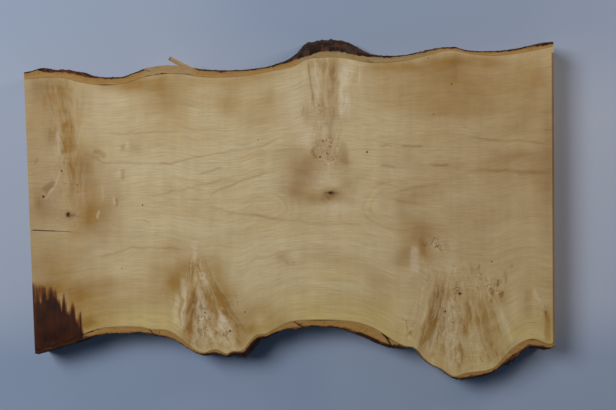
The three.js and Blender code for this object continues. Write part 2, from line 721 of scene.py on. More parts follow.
@dataclass(frozen=True)
class DarkLine:
    """A thin dark line, from one place to another: a mark in the wood, or painted shade in a crack or along
    an edge. Millimetres.
    """

    start: Point
    end: Point
    width: float
    dark: float


@dataclass(frozen=True)
class Swelling:
    """A burl under the face, which pushes the growth rings out. Millimetres."""

    at: Point
    reach: Point
    height: float


BROWN, GOLD, CREAM, CURL, SAP, STAIN, GREY = Tint


def clouds(tint: Tint, *rows: tuple[float, ...]) -> tuple[Cloud, ...]:
    """Several soft patches of one tint.

    Args:
        tint: What they do to the colour.
        rows: For each patch its place, its reach along and across the board, its strength and any turn.

    Returns:
        The patches.
    """
    return tuple(Cloud(tint, row[:2], row[2:4], *row[4:]) for row in rows)


def lines(tint: Tint, *rows: tuple[float, ...]) -> tuple[Streak, ...]:
    """Several straight bands of one tint.

    Args:
        tint: What they do to the colour.
        rows: For each band the place of its start and of its end, its width at each, its strength and, if it
            isn't the usual one, the softness of its sides.

    Returns:
        The bands.
    """
    return tuple(Streak(tint, (row[:2], row[2:4]), row[4:6], *row[6:]) for row in rows)


def dark_lines(*rows: tuple[float, ...]) -> tuple[DarkLine, ...]:
    """Several thin dark lines, each from its start to its end, with its width and its darkness."""
    return tuple(DarkLine(row[:2], row[2:4], *row[4:]) for row in rows)


# The marks of each part of the planed face. A patch or band is placed in millimetres from the board's middle.
LEFT_END = (
    *clouds(
        GOLD,
        (-240, 100, 14, 34, 0.3), (-238, 66, 16, 26, 0.28), (-204, 32, 14, 46, 0.4),
        (-238, 5, 14, 20, 0.35), (-226, -42, 30, 32, 0.35), (-203, -98, 12, 14, 0.5),
        (-176, -76, 20, 16, 0.35), (-222, 112, 16, 16, 0.2), (-190, 112, 26, 16, 0.3),
        (-221, 72, 8, 12, 0.45), (-198, 92, 14, 20, 0.25), (-182, 2, 12, 16, 0.25),
        (-218, 112, 14, 14, 0.45), (-218, 90, 8, 10, 0.5), (-189, 46, 8, 15, 0.45), (-185, 27, 8, 16, 0.3),
        (-174, -3, 10, 15, 0.45), (-190, -108, 12, 7, 0.75), (-203, 50, 12, 22, 0.38),
        (-202, 20, 11, 26, 0.32), (-189, -12, 14, 16, 0.5), (-203, -22, 9, 9, 0.35),
        (-214, -60, 24, 22, 0.45), (-203, -84, 22, 16, 0.45), (-178, -100, 22, 22, 0.5),
        (-146, -88, 36, 18, 0.3), (-118, -78, 22, 14, 0.25), (-228, 103, 7, 30, 0.3),
        (-209, 93, 8, 34, 0.45), (-155, 58, 2.5, 3.5, 0.6), (-187, 6, 9, 24, 0.45, -10),
        (-197, -42, 10, 6, 0.22), (-197, -76, 12, 9, 0.32),
    ),
    *clouds(
        BROWN,
        (-168, -28, 34, 14, 0.25), (-225, 30, 14, 20, 0.2), (-232, 112, 20, 18, 0.3),
        (-222, 66, 10, 13, 0.2), (-189, 44, 7, 12, 0.25), (-240, 118, 6, 12, 0.25), (-222, 8, 12, 14, 0.3),
        (-170, -16, 20, 16, 0.3), (-180, 48, 14, 26, 0.28), (-165, 5, 14, 26, 0.2),
        (-185, -52, 22, 30, 0.3), (-145, 58, 6, 6, 0.4), (-193, 30, 8, 20, 0.5), (-168, 20, 12, 26, 0.25),
        (-235, 5, 5, 9, 0.45), (-207, -6, 8, 6, 0.5), (-222, -4, 18, 14, 0.28), (-240, -60, 12, 20, 0.2),
    ),
    *clouds(
        CURL,
        (-214, 60, 6, 12, 0.7), (-212, 41, 8, 8, 0.5), (-204, -6, 12, 9, 0.5), (-204, 20, 6, 6, 0.35),
    ),
    *clouds(GREY, (-252, 20, 46, 160, 1.0)),
    *clouds(CREAM, (-175, 100, 28, 26, 0.25)),
    *lines(
        GOLD,
        (-208, 86, -207, 50, 11, 13, 0.5, 5), (-186, 54, -170, 50, 5, 4, 0.45, 3),
        (-163, 11, -162.5, 2, 1.8, 1.8, 0.6),
    ),
    *lines(
        CREAM,
        (-219, 75, -214, 55, 2, 6, 0.6), (-151.5, 64, -152, 58, 1.5, 1.5, 0.7),
        (-162, 36, -162.5, 28, 1.6, 1.6, 0.6), (-159.5, 39, -159, 28, 1.6, 1.6, 0.6),
        (-165.5, 12, -165, 3, 1.6, 1.6, 0.6), (-179.5, -1, -180.5, -8.5, 1.6, 1.6, 0.8),
        (-175.5, 22, -175.5, 8, 1.4, 1.4, 0.35),
    ),
    *lines(
        BROWN,
        (-156.5, 38, -156.5, 26, 2.6, 2.6, 0.5), (-221, 26, -231, 14, 5, 8, 0.55, 3),
        (-236.5, 49, -238.5, 42, 1.8, 1.8, 0.55), (-206, -5.5, -195, -6, 3, 2, 0.55),
    ),
    Streak(CREAM, ((-216, 36), (-219, 25), (-226.5, 14), (-229, 9)), (1.4, 1.6), 0.8),
)

TOP = (
    *clouds(
        GOLD,
        (190, 138, 17, 8, 0.5), (232, 130, 17, 12, 0.35), (88, 110, 24, 18, 0.25), (-70, 123, 80, 6, 0.2),
        (155, 102, 22, 14, 0.25), (246, -95, 9, 34, 0.35), (-128, 119, 38, 11, 0.5),
        (-166, 117, 18, 7, 0.55), (-118, 98, 22, 16, 0.25), (-55, 117, 42, 8, 0.28),
        (-56, 98, 16, 18, 0.22), (-24, 98, 24, 16, 0.25), (180, 118, 34, 24, 0.42), (126, 112, 30, 22, 0.2),
        (228, 104, 26, 30, 0.35), (-131, 113, 26, 15, 0.22), (-149, 117, 11, 10, 0.5),
        (-112, 101, 26, 20, 0.32), (-104, 79, 18, 11, 0.25), (-58, 100, 13, 14, 0.22),
        (-31, 83, 28, 9, 0.28), (-108, -37, 20, 11, 0.38), (148, 139, 28, 10, 0.75), (105, 133, 32, 7, 0.5),
        (148, 90, 34, 11, 0.25), (191, 97, 11, 9, 0.3), (210, 75, 26, 8, 0.25), (-90, 116, 34, 10, 0.12),
        (120, 112, 50, 28, 0.26), (86, 132, 18, 9, 0.3), (225, 118, 22, 30, 0.2), (148, 124, 20, 8, 0.3),
        (-28, 126, 20, 5, 0.35),
    ),
    *clouds(
        BROWN,
        (36, 118, 20, 22, 0.25), (246, 90, 9, 44, 0.35), (195, 60, 105, 92, 0.36), (120, 45, 40, 13, 0.25),
        (215, 35, 40, 22, 0.22), (140, 30, 26, 14, 0.2), (108, 5, 20, 14, 0.3), (150, 137, 22, 8, 0.3),
        (-20, 108, 10, 12, 0.2), (148, 124, 20, 8, 0.12), (185, 5, 60, 30, 0.12), (122, 13, 22, 7, 0.25, 8),
    ),
    *lines(
        BROWN,
        (185, 54, 250, 48, 8, 8, 0.16, 6), (129, 43, 152, 41, 2, 2, 0.5), (104, 59, 127, 58.5, 2, 2, 0.6),
        (85, 40, 101, 39, 2, 2, 0.5), (83, 58.5, 97, 58, 1.6, 1.6, 0.45),
    ),
    Streak(BROWN, ((160, 36), (200, 35), (250, 34)), (2.4, 4), 0.32, 2.4),
    Streak(BROWN, ((160, 68), (215, 64), (250, 60)), (1.6, 1.6), 0.4),
    Streak(BROWN, ((92, 12), (102, 17), (122, 21), (146, 24)), (1.6, 2.4), 0.3, 3),
    Streak(BROWN, ((92, 11), (110, 6.5), (132, 5)), (1.6, 2.4), 0.25, 3),
)

HUMP = (
    *clouds(
        CREAM,
        (15, 68, 7, 11, 0.5), (5, 100, 14, 30, 0.42), (33, 80, 4, 12, 0.4), (34, 29, 12, 6, 0.5),
        (46, -2, 14, 6, 0.3),
    ),
    *clouds(CURL, (40, 52, 12, 15, 0.6), (29, 90, 8, 16, 0.6), (33, 57, 11, 15, 0.8), (38, 8, 8, 5, 0.6)),
    *clouds(
        BROWN,
        (32, 9, 16, 6, 0.4), (50, 12, 8, 6, 0.25), (31, 88, 5, 12, 0.35), (39, 80, 5, 9, 0.3),
        (39, 15, 7, 5, 0.5), (8, 14, 15, 15, 0.5), (20, 30, 12, 10, 0.3), (42, 52, 8, 14, 0.3),
        (20, 44, 8, 13, 0.3), (4, 60, 14, 14, 0.2), (16, 90, 4, 10, 0.55), (33, 58, 13, 18, 0.4),
        (8, 38, 17, 19, 0.62), (2, 18, 11, 16, 0.28), (52, 43, 8, 13, 0.45), (55, 22, 9, 9, 0.34),
        (38, 15, 10, 5.5, 0.55),
    ),
    *clouds(GOLD, (38, 9, 16, 6, 0.3), (24, 136, 9, 8, 0.35), (40, 136, 12, 8, 0.45), (21, 11, 8, 7, 0.5)),
    *lines(BROWN, (33, 143, 32, 93, 4, 4, 0.4, 2.5)),
    *lines(CREAM, (65.5, 140, 65.5, 117, 1.4, 1.4, 0.6), (25, 142, 27, 100, 4, 4, 0.45, 2.5)),
    Streak(BROWN, ((24, 61), (22, 55), (26, 48)), (3, 3), 0.6),
    Streak(BROWN, ((49, 64), (53, 54), (51, 40)), (5, 9), 0.4, 4),
    Streak(BROWN, ((41, 143), (41, 110), (42, 78)), (9, 8), 0.55, 4),
    Streak(CREAM, ((54, 140), (52, 110), (51, 80)), (10, 8), 0.75, 4),
    Streak(BROWN, ((17, 142), (20, 116), (24, 94)), (2.2, 2.0), 0.5, 1.5),
)

FIRST_LOBE = (
    *clouds(
        GOLD,
        (-82, -98, 24, 36, 0.28), (-22, -95, 17, 8, 0.25), (-150, -70, 60, 10, 0.15),
        (-55, -78, 12, 12, 0.4), (-50, -116, 20, 10, 0.3), (-86, -94, 12, 16, 0.25),
        (-25, -112, 30, 6, 0.3), (-84, -60, 24, 18, 0.25), (-103, -66, 10, 16, 0.35),
        (-84, -54, 12, 10, 0.35), (-118, -62, 14, 12, 0.2), (-62, -99, 9, 16, 0.35), (-92, -63, 5, 7, 0.4),
        (-85, -98, 8, 14, 0.65), (-86, -118, 9, 9, 0.4), (-62, -112, 9, 10, 0.6), (-45, -125, 12, 7, 0.5),
        (-90, -125, 22, 10, 0.5), (-34, -101, 16, 14, 0.45), (-12, -104, 16, 9, 0.4),
        (-109, -67, 9, 14, 0.4), (-98, -53, 9, 8, 0.4), (-122, -52, 14, 12, 0.25), (-71, -82, 10, 11, 0.4),
        (-67, -58, 10, 16, 0.5), (-68, -96, 44, 34, 0.22),
    ),
    *clouds(SAP, (-112, -84, 12, 14, 0.5)),
    *clouds(
        CURL,
        (-82, -104, 15, 28, 0.9), (-60, -118, 15, 17, 0.9), (-86, -58, 7, 10, 0.9), (-85, -57, 4, 7, 0.7),
        (-79, -68, 5, 8, 0.4), (1, -50, 7, 3, 0.6),
    ),
    *clouds(BROWN, (-85, -95, 11, 16, 0.35), (-8, -44, 5, 6, 0.5, -50), (-3, -48, 7, 4, 0.3)),
    *clouds(CREAM, (-28.5, -104, 6, 9, 0.4), (5, -44, 4, 6, 0.35)),
    *lines(
        CREAM,
        (-88.5, -28, -88, -50, 6, 3, 0.35, 4), (-100, -62, -100.5, -84, 3, 4, 0.5),
        (-82, -56, -78, -74, 4, 7, 0.35, 4), (-62, -112, -56, -132, 14, 14, 0.4, 4),
        (-22, -33, 28, -41, 2, 2, 0.25),
    ),
    *lines(BROWN, (-102.5, -75, -104, -112, 1.4, 1.4, 0.5)),
    *lines(GOLD, (-38, -118, -34, -108, 6, 4, 0.15, 4)),
    Streak(CREAM, ((-105.5, -78), (-107, -92), (-107.5, -112)), (4, 6), 0.7, 2),
    Streak(CREAM, ((-97, -70), (-99.5, -90), (-101.5, -116)), (2, 3), 0.7),
    Streak(GOLD, ((-87, -72), (-91, -88), (-94, -104), (-99, -122)), (5, 9), 0.4, 5),
    Streak(BROWN, ((-87, -72), (-91, -88), (-94, -104), (-99, -122)), (5, 10), 0.26, 6),
    Streak(CREAM, ((-84.5, -70), (-83, -92), (-81, -112), (-79, -133)), (2, 24), 0.5, 5),
    Streak(CREAM, ((-65.5, -93), (-62, -104), (-60, -116)), (1, 16), 0.7, 2),
    Streak(GOLD, ((-71, -64), (-63, -82), (-54, -100), (-46, -114), (-41, -126)), (7, 10), 0.2, 12),
    Streak(BROWN, ((-71, -64), (-61, -84), (-50, -104), (-41, -124)), (8, 14), 0.26, 14),
)

RIGHT_LOBE = (
    *clouds(
        GOLD,
        (126, -121, 8, 14, 0.3), (197, -136, 12, 9, 0.4), (40, -50, 54, 11, 0.18), (80, -68, 15, 9, 0.22),
        # Painted shade: the first patch on this line, at x 246, darkens the right end of the face where the
        # light falls off.
        (246, 25, 14, 60, 0.2), (168, -100, 26, 26, 0.3), (205, -128, 12, 12, 0.15),
        (117, -28, 18, 18, 0.35), (86, -80, 18, 15, 0.3), (146, -72, 16, 12, 0.25),
        (139, -108, 10, 20, 0.45), (155, -142, 22, 14, 0.4), (200, -86, 9, 10, 0.4),
        (131, -22, 12, 18, 0.28), (125.6, -35, 4.5, 8, 0.5), (112, -8, 14, 9, 0.25),
        (130, -43, 9, 11, 0.35), (146, -81, 8, 8, 0.4), (161, -81, 8, 8, 0.4), (151, -126, 13, 11, 0.4),
        (190, -126, 9, 22, 0.45), (178, -106, 7, 9, 0.1), (118, -104, 9, 22, 0.3), (181, -98, 9, 16, 0.4),
        (182, -124, 9, 12, 0.12), (143, -90, 6, 10, 0.35), (153, -118, 9, 14, 0.35),
        (161, -137, 10, 9, 0.4), (108, -46, 11, 9, 0.35),
    ),
    *clouds(
        BROWN,
        # Painted shade: the first patch on this line, at x 246, darkens the right end of the face where the
        # light falls off.
        (246, 25, 18, 62, 0.35), (190, -60, 100, 70, 0.25), (119, -26, 16, 18, 0.25),
        (107, -46, 11, 9, 0.45), (159, -79, 4, 3, 0.3),
    ),
    *clouds(
        CURL,
        (152, -102, 14, 30, 0.75), (188, -74, 15, 17, 0.8), (132, -58, 10, 14, 0.4),
        (178, -128, 22, 16, 0.35), (136, -35, 8, 9, 1.0), (165, -60, 18, 14, 0.45), (238, -92, 6, 16, 0.5),
        (113, -117, 4, 8, 0.8),
    ),
    *clouds(
        CREAM,
        (137, -35, 7, 7, 0.35), (153, -47, 6, 18, 0.3), (150, -98, 11, 22, 0.5), (208, -90, 10, 22, 0.22),
    ),
    *clouds(SAP, (90, -93, 15, 12, 0.5), (48, -63, 20, 8, 0.5), (195, -100, 70, 60, 0.4)),
    *lines(
        CREAM,
        (118.5, -33, 118.5, -62, 5, 9, 0.5, 3), (150, -112, 157, -150, 16, 10, 0.45, 4),
        (138, -112, 130, -136, 3, 6, 0.35, 3), (230, -74, 236, -90, 2, 3, 0.5),
        (113.5, -110, 112, -116, 1.5, 1.5, 1.0), (112.5, -118, 113.5, -123, 1.6, 1.6, 1.0),
    ),
    *lines(BROWN, (161, -122, 160, -152, 4, 3, 0.45, 2)),
    *lines(
        GOLD,
        (194.8, -65, 195.5, -73, 2, 2.5, 1.0), (203, -57, 204, -71, 1.8, 1.8, 0.8),
        (189, -75, 191.5, -83, 2, 3, 0.8), (198, -79, 200.5, -83.5, 5, 3.5, 1.0),
        (188.5, -86, 190, -89, 2, 2, 0.7), (208, -50, 209.5, -55, 1.6, 1.6, 0.7),
        (178.8, -51, 179, -57.5, 1.6, 1.6, 0.7), (241, -92, 243, -128, 4, 7, 0.55, 3),
        (226, -72, 224, -108, 7, 7, 0.3, 4),
    ),
    Streak(
        BROWN, ((142, -64), (141, -76), (136.5, -96), (129.5, -122), (124, -138)),
        (13, 11), 0.34, 4, (0.3, 0.1),
    ),
    Streak(
        GOLD, ((142, -68), (140, -80), (136, -96), (129, -122), (124, -138)),
        (13, 10), 0.32, 4, (0.3, 0.1),
    ),
    Streak(CREAM, ((125, -70), (122.5, -94), (116, -120)), (3, 3), 0.3, 2.5),
    Streak(BROWN, ((141, -106), (137, -124), (131, -141)), (3, 7), 0.4, 3),
    Streak(GOLD, ((164, -84), (169, -100), (167, -122)), (5, 6), 0.5, 2.5),
    Streak(CREAM, ((169, -82), (173, -97), (177, -120)), (2, 3), 0.5),
    Streak(GOLD, ((188, -84), (193, -104), (197, -122)), (4, 5), 0.35, 3),
    Streak(CREAM, ((198, -92), (203, -110), (208, -128)), (3, 8), 0.6, 2.5),
)

GRAIN_LINES = (
    *lines(BROWN, (-86, 33, -62, 38.6, 1.8, 1.8, 0.55), (60, 30, 110, 20, 1.4, 1.4, 0.3)),
    Streak(BROWN, ((-131, 40.5), (-103, 46), (-56, 53.6), (-23, 61), (1, 70.5)), (1.4, 1.4), 0.5),
    Streak(BROWN, ((-131, 11.3), (-95, 19.8), (-51, 30)), (1.4, 1.4), 0.4),
    Streak(BROWN, ((-76.5, 8.5), (-72, 16), (-63, 19.8), (-25.7, 33), (-13.5, 36.7)), (1.6, 1.6), 0.45),
    Streak(BROWN, ((-76.5, 6.6), (-71, 1), (-42, -3.7), (0.6, -12)), (1.4, 1.4), 0.4),
    Streak(
        BROWN, ((-195, 51.7), (-172.4, 44.2), (-136.6, 42.3), (-112, 44.2), (-103, 46)), (1.6, 1.6), 0.5,
    ),
    Streak(BROWN, ((-175, 71), (-140, 71.5), (-100, 70.5)), (1.4, 1.4), 0.4),
    Streak(BROWN, ((-184.5, -46), (-156, -40.4), (-147, -36.6), (-90, -37.5)), (1.6, 1.6), 0.45),
    Streak(BROWN, ((-60, -2), (-20, -8), (30, -14), (80, -16)), (1.4, 1.4), 0.3),
)

# The dark rot that has crept in from the lower left corner, with the tips of its fringe.
ROT_TIPS = (
    ((-242, -66), 6, 1), ((-237, -73), 5.5, 1), ((-231, -68), 5.6, 1.1), ((-227.4, -75), 4, 0.9),
    ((-224.2, -68), 5.4, 1.2), ((-220.4, -73), 5, 1.1), ((-217, -79), 4.2, 1), ((-212.2, -74), 5, 1.05),
    ((-208.2, -93), 4.2, 1), ((-204, -84), 4.8, 1.15), ((-200.2, -101), 3.2, 0.9), ((-197, -92), 3.2, 0.9),
)
ROT_ROOT = -122.0
ROT = (
    Streak(STAIN, ((-234, -86), (-230, -108), (-226, -140)), (27, 54), 1.3, 9, (0.14, 0.0)),
    Streak(STAIN, ((-226, -126), (-205, -122), (-194, -117)), (22, 4), 1.0, 4, (0.0, 0.1)),
    Streak(STAIN, ((-240, -78), (-216, -82)), (16, 12), 0.28, 9, (0.0, 0.2)),
    Cloud(GOLD, (-230, -76), (20, 9), 0.8),
    Cloud(STAIN, (-207, -110), (7, 12), 1.0),
    Cloud(STAIN, (-203, -117), (8, 7), 0.8),
    *(
        Streak(STAIN, (tip, (tip[0] + 1.2, ROT_ROOT)), (width * 0.45, width), strength, 2.2, (0.4, 0.0))
        for tip, width, strength in ROT_TIPS
    ),
)

# Where the burls' fibres stand up or down the board and spread.
FANS = (
    Fan((36, 36), (40, 146), (9, 32), 0.6),
    Fan((-88, -36), (-72, -134), (4, 42), 0.55),
    Fan((158, -58), (160, -158), (34, 72), 0.55),
    Fan((-202, 6), (-217, 122), (14, 24), 0.35),
)

# Where the rings bulge round a burl.
SWELLINGS = (
    Swelling((39, 15), (34, 24), 16.0),
    Swelling((30, 70), (26, 40), 7.0),
    Swelling((-208, -5), (26, 22), 12.0),
    Swelling((-212, 60), (18, 26), 6.0),
    Swelling((-88, -46), (20, 14), 6.0),
    Swelling((134, -32), (18, 16), 10.0),
    Swelling((-3, -46), (12, 7), 3.0),
    Swelling((165, -76), (26, 16), 7.0),
)

# The knot hearts and pinholes, bored in the face.
KNOTS = (
    Knot((39.1, 15.1), (2.6, 1.5), 1.6, 0.95), Knot((-207.8, -5.4), (2.2, 2.3), 2.4, 0.9),
    Knot((160.4, -79.6), (1.6, 1.2), 1.6, 0.9), Knot((-231.2, 11.7), (1.0, 1.0), 4),
    Knot((-214.1, 35.8), (0.8, 0.7), 3), Knot((-199.2, 22.9), (0.5, 0.5), 2, 0.8),
    Knot((-210.5, 23.8), (0.45, 0.4), 2, 0.7), Knot((-198.3, 16.0), (0.45, 0.45), 2, 0.7),
    Knot((-138.0, 3.8), (0.6, 0.6), 3), Knot((-157.6, -55.7), (0.5, 0.4), 2, 0.8),
    Knot((31.6, 64.0), (0.7, 0.7), 3), Knot((28.8, 48.9), (0.8, 0.8), 3), Knot((73.0, 53.6), (0.8, 0.8), 3),
    Knot((130.8, 142.0), (0.5, 0.5), 2, 0.8), Knot((152.6, 117.5), (0.6, 0.7), 2, 0.8),
    Knot((135.7, 88.9), (0.5, 0.5), 2, 0.6), Knot((-79.3, -97.7), (0.6, 0.7), 3),
    Knot((-55.8, -114.6), (0.8, 0.9), 3), Knot((-41.7, -96.8), (0.6, 0.6), 2, 0.7),
    Knot((146.6, -96.3), (0.8, 0.8), 3), Knot((190.2, -49.5), (0.6, 0.6), 2, 0.8),
    Knot((-29.5, 65.0), (0.5, 0.5), 2, 0.6),
)

# The dark lines on the face that are too thin to bore, as colour. The first is a painted shadow along the
# right saw cut, and the next three paint the shade in the drying check.
FACE_LINES_AND_SHADE = dark_lines(
    # Painted shade: the first line paints a shadow strip along the right saw cut, and the next three paint
    # the shade inside the drying check.
    (248.9, -131, 247.6, 146, 2.0, 0.8), (-246, -19.8, -222, -20.4, 0.9, 0.7),
    (-222, -20.4, -206, -21.5, 0.6, 0.6), (-206, -21.5, -197, -22.6, 0.5, 0.3),
    (-137, -10.5, -131, -13, 0.5, 0.5), (16.8, 141, 23.5, 96, 1.0, 0.25), (33, 15.4, 46, 15, 0.7, 0.6),
    (153, -76, 157, -73.6, 0.7, 0.6), (157, -73.6, 161.8, -74.4, 0.7, 0.5),
    (105, -101, 110, -105.5, 0.5, 0.5), (110, -105.5, 111.2, -114, 0.5, 0.5),
    (-51, -79, -50, -84, 0.8, 0.3), (-49, -87, -48.4, -91, 0.8, 0.3), (241, -96, 241.6, -101, 0.8, 0.6),
    (179, -139, 182, -144, 0.7, 0.5), (186, -136.5, 190, -143, 0.6, 0.5), (194, -134, 196, -138, 0.6, 0.4),
    (12, 88, 13.5, 96, 0.8, 0.35), (-196, -110, -186, -104, 0.6, 0.4), (-216, 62, -213.5, 52, 0.6, 0.5),
    (-211, 60, -210, 54, 0.5, 0.4), (-207, 44, -205, 38, 0.7, 0.4), (132.5, -34, 136.5, -27, 0.7, 0.6),
    (136.5, -27, 140, -29, 0.6, 0.5), (140.6, -31, 140.2, -36, 0.6, 0.5),
    (195.2, -66, 195.6, -72, 0.6, 0.5), (189.6, -84, 191.2, -88, 0.7, 0.5),
)

# Painted shade: dark lines across the sawn bark where it has split, which stand for the shade in the splits.
BARK_CRACK_SHADE = dark_lines(
    (-197, -121.5, -195, -119, 2.2, 0.95), (-199, -124, -195, -122, 2.0, 0.7),
    (-218, -131, -212, -129, 1.6, 0.7), (-207, -128, -203, -126, 1.4, 0.6),
    (-133, -111.5, -130, -115, 1.0, 0.8), (-130, -115, -127, -118, 0.9, 0.7),
    (-122, -115, -124, -121, 0.8, 0.5), (4, -105.5, 8, -108, 0.9, 0.8), (8, -108, 13, -111, 1.3, 0.9),
    (12, -107.5, 8, -110, 0.8, 0.7), (87, -117, 92, -122, 1.1, 0.9), (92, -122, 96, -129, 1.8, 0.9),
    (103, -128, 110, -131, 2.0, 0.6), (-152, 126.5, -138, 130.5, 1.8, 0.7),
    (-138, 131, -131, 129.5, 1.0, 0.5), (74, 139, 86, 136, 0.8, 0.4),
)


@dataclass(frozen=True)
class DryingCheck:
    """A split that has opened from the left end as the wood dried. Millimetres."""

    mouth: Point = (-246.0, -19.7)
    tip: Point = (-205.0, -21.4)
    width: float = 0.9
    depth: float = 9.0


# ---------------------------------------------------------------- finishes


class Figure:
    """What the maple's finish reads at a place: where it lies in the tree, its marks and its noises."""

    def __init__(self, shader: Shader, ring_width: float) -> None:
        """Adds the nodes that read the place, the marks and the noises.

        Args:
            shader: The finish that is being made.
            ring_width: How far apart the rings lie on the underside.
        """
        self.point = shader.point()
        self.x, self.y, self.z = shader.parts(self.point)
        self.under = self.z.step(0.4 * MM, 0.1 * MM)
        self.end = shader.normal()[0].size().step(0.8, 0.95)
        self.along, self.across, self.rings = self.grain(shader, ring_width)
        self.brown, self.gold, self.cream = shader.painted("tone")
        self.curl, self.sap, self.rot = shader.painted("burl")
        fan_across, fan_along, fan = shader.painted("fan")
        self.rind, self.greyed, _ = shader.painted("rind")
        self.calm = 1.0 - fan * 0.6

        along, across = self.along, self.across
        self.warp = shader.noise(self.point, 55.0, 3.0) - 0.5
        self.fibre = shader.noise(shader.vector(along * 60.0, across * 950.0, self.z * 900.0), 1.0, 3.0) - 0.5
        self.drift = shader.noise(shader.vector(along * 14.0, across * 210.0, 2.0), 1.0, 2.0) - 0.5
        self.ripple = shader.noise(shader.vector(self.x * 130.0, self.y * 20.0, 8.0), 1.0, 2.0) - 0.5
        self.broad = shader.noise(shader.vector(along * 9.0, across * 34.0), 1.0, 3.0)
        self.flecks = shader.noise(shader.vector(along * 240.0, across * 1300.0), 1.0, 1.0).step(0.62, 0.78)
        upright = shader.noise(shader.vector(fan_across * 650.0, fan_along * 95.0), 1.0, 3.0, 0.8)
        flames = shader.noise(shader.vector(fan_across * 210.0, fan_along * 42.0, 3.0), 1.0, 3.0, 1.2)
        self.upright = fan * (upright - 0.5)
        self.flame = fan * (flames.step(0.40, 0.60) - 0.5)

    def grain(self, shader: Shader, ring_width: float) -> tuple[Value, Value, Value]:
        """Where the place lies along and across the grain in metres, and how many rings out from the pith.

        Args:
            shader: The finish that is being made.
            ring_width: How far apart the rings lie.

        Returns:
            The three values. The planed face reads them from its mesh, and the underside from its own place.
        """
        along, across, rings = shader.painted("grain")
        pith = self.x * 0.04 + 0.012
        radius = (self.y * self.y + pith * pith).sum("SQRT")
        own = 1.0 - self.under
        return (
            along * own + self.x * self.under,
            across * own + self.y * self.under,
            rings * own + radius / ring_width * self.under,
        )


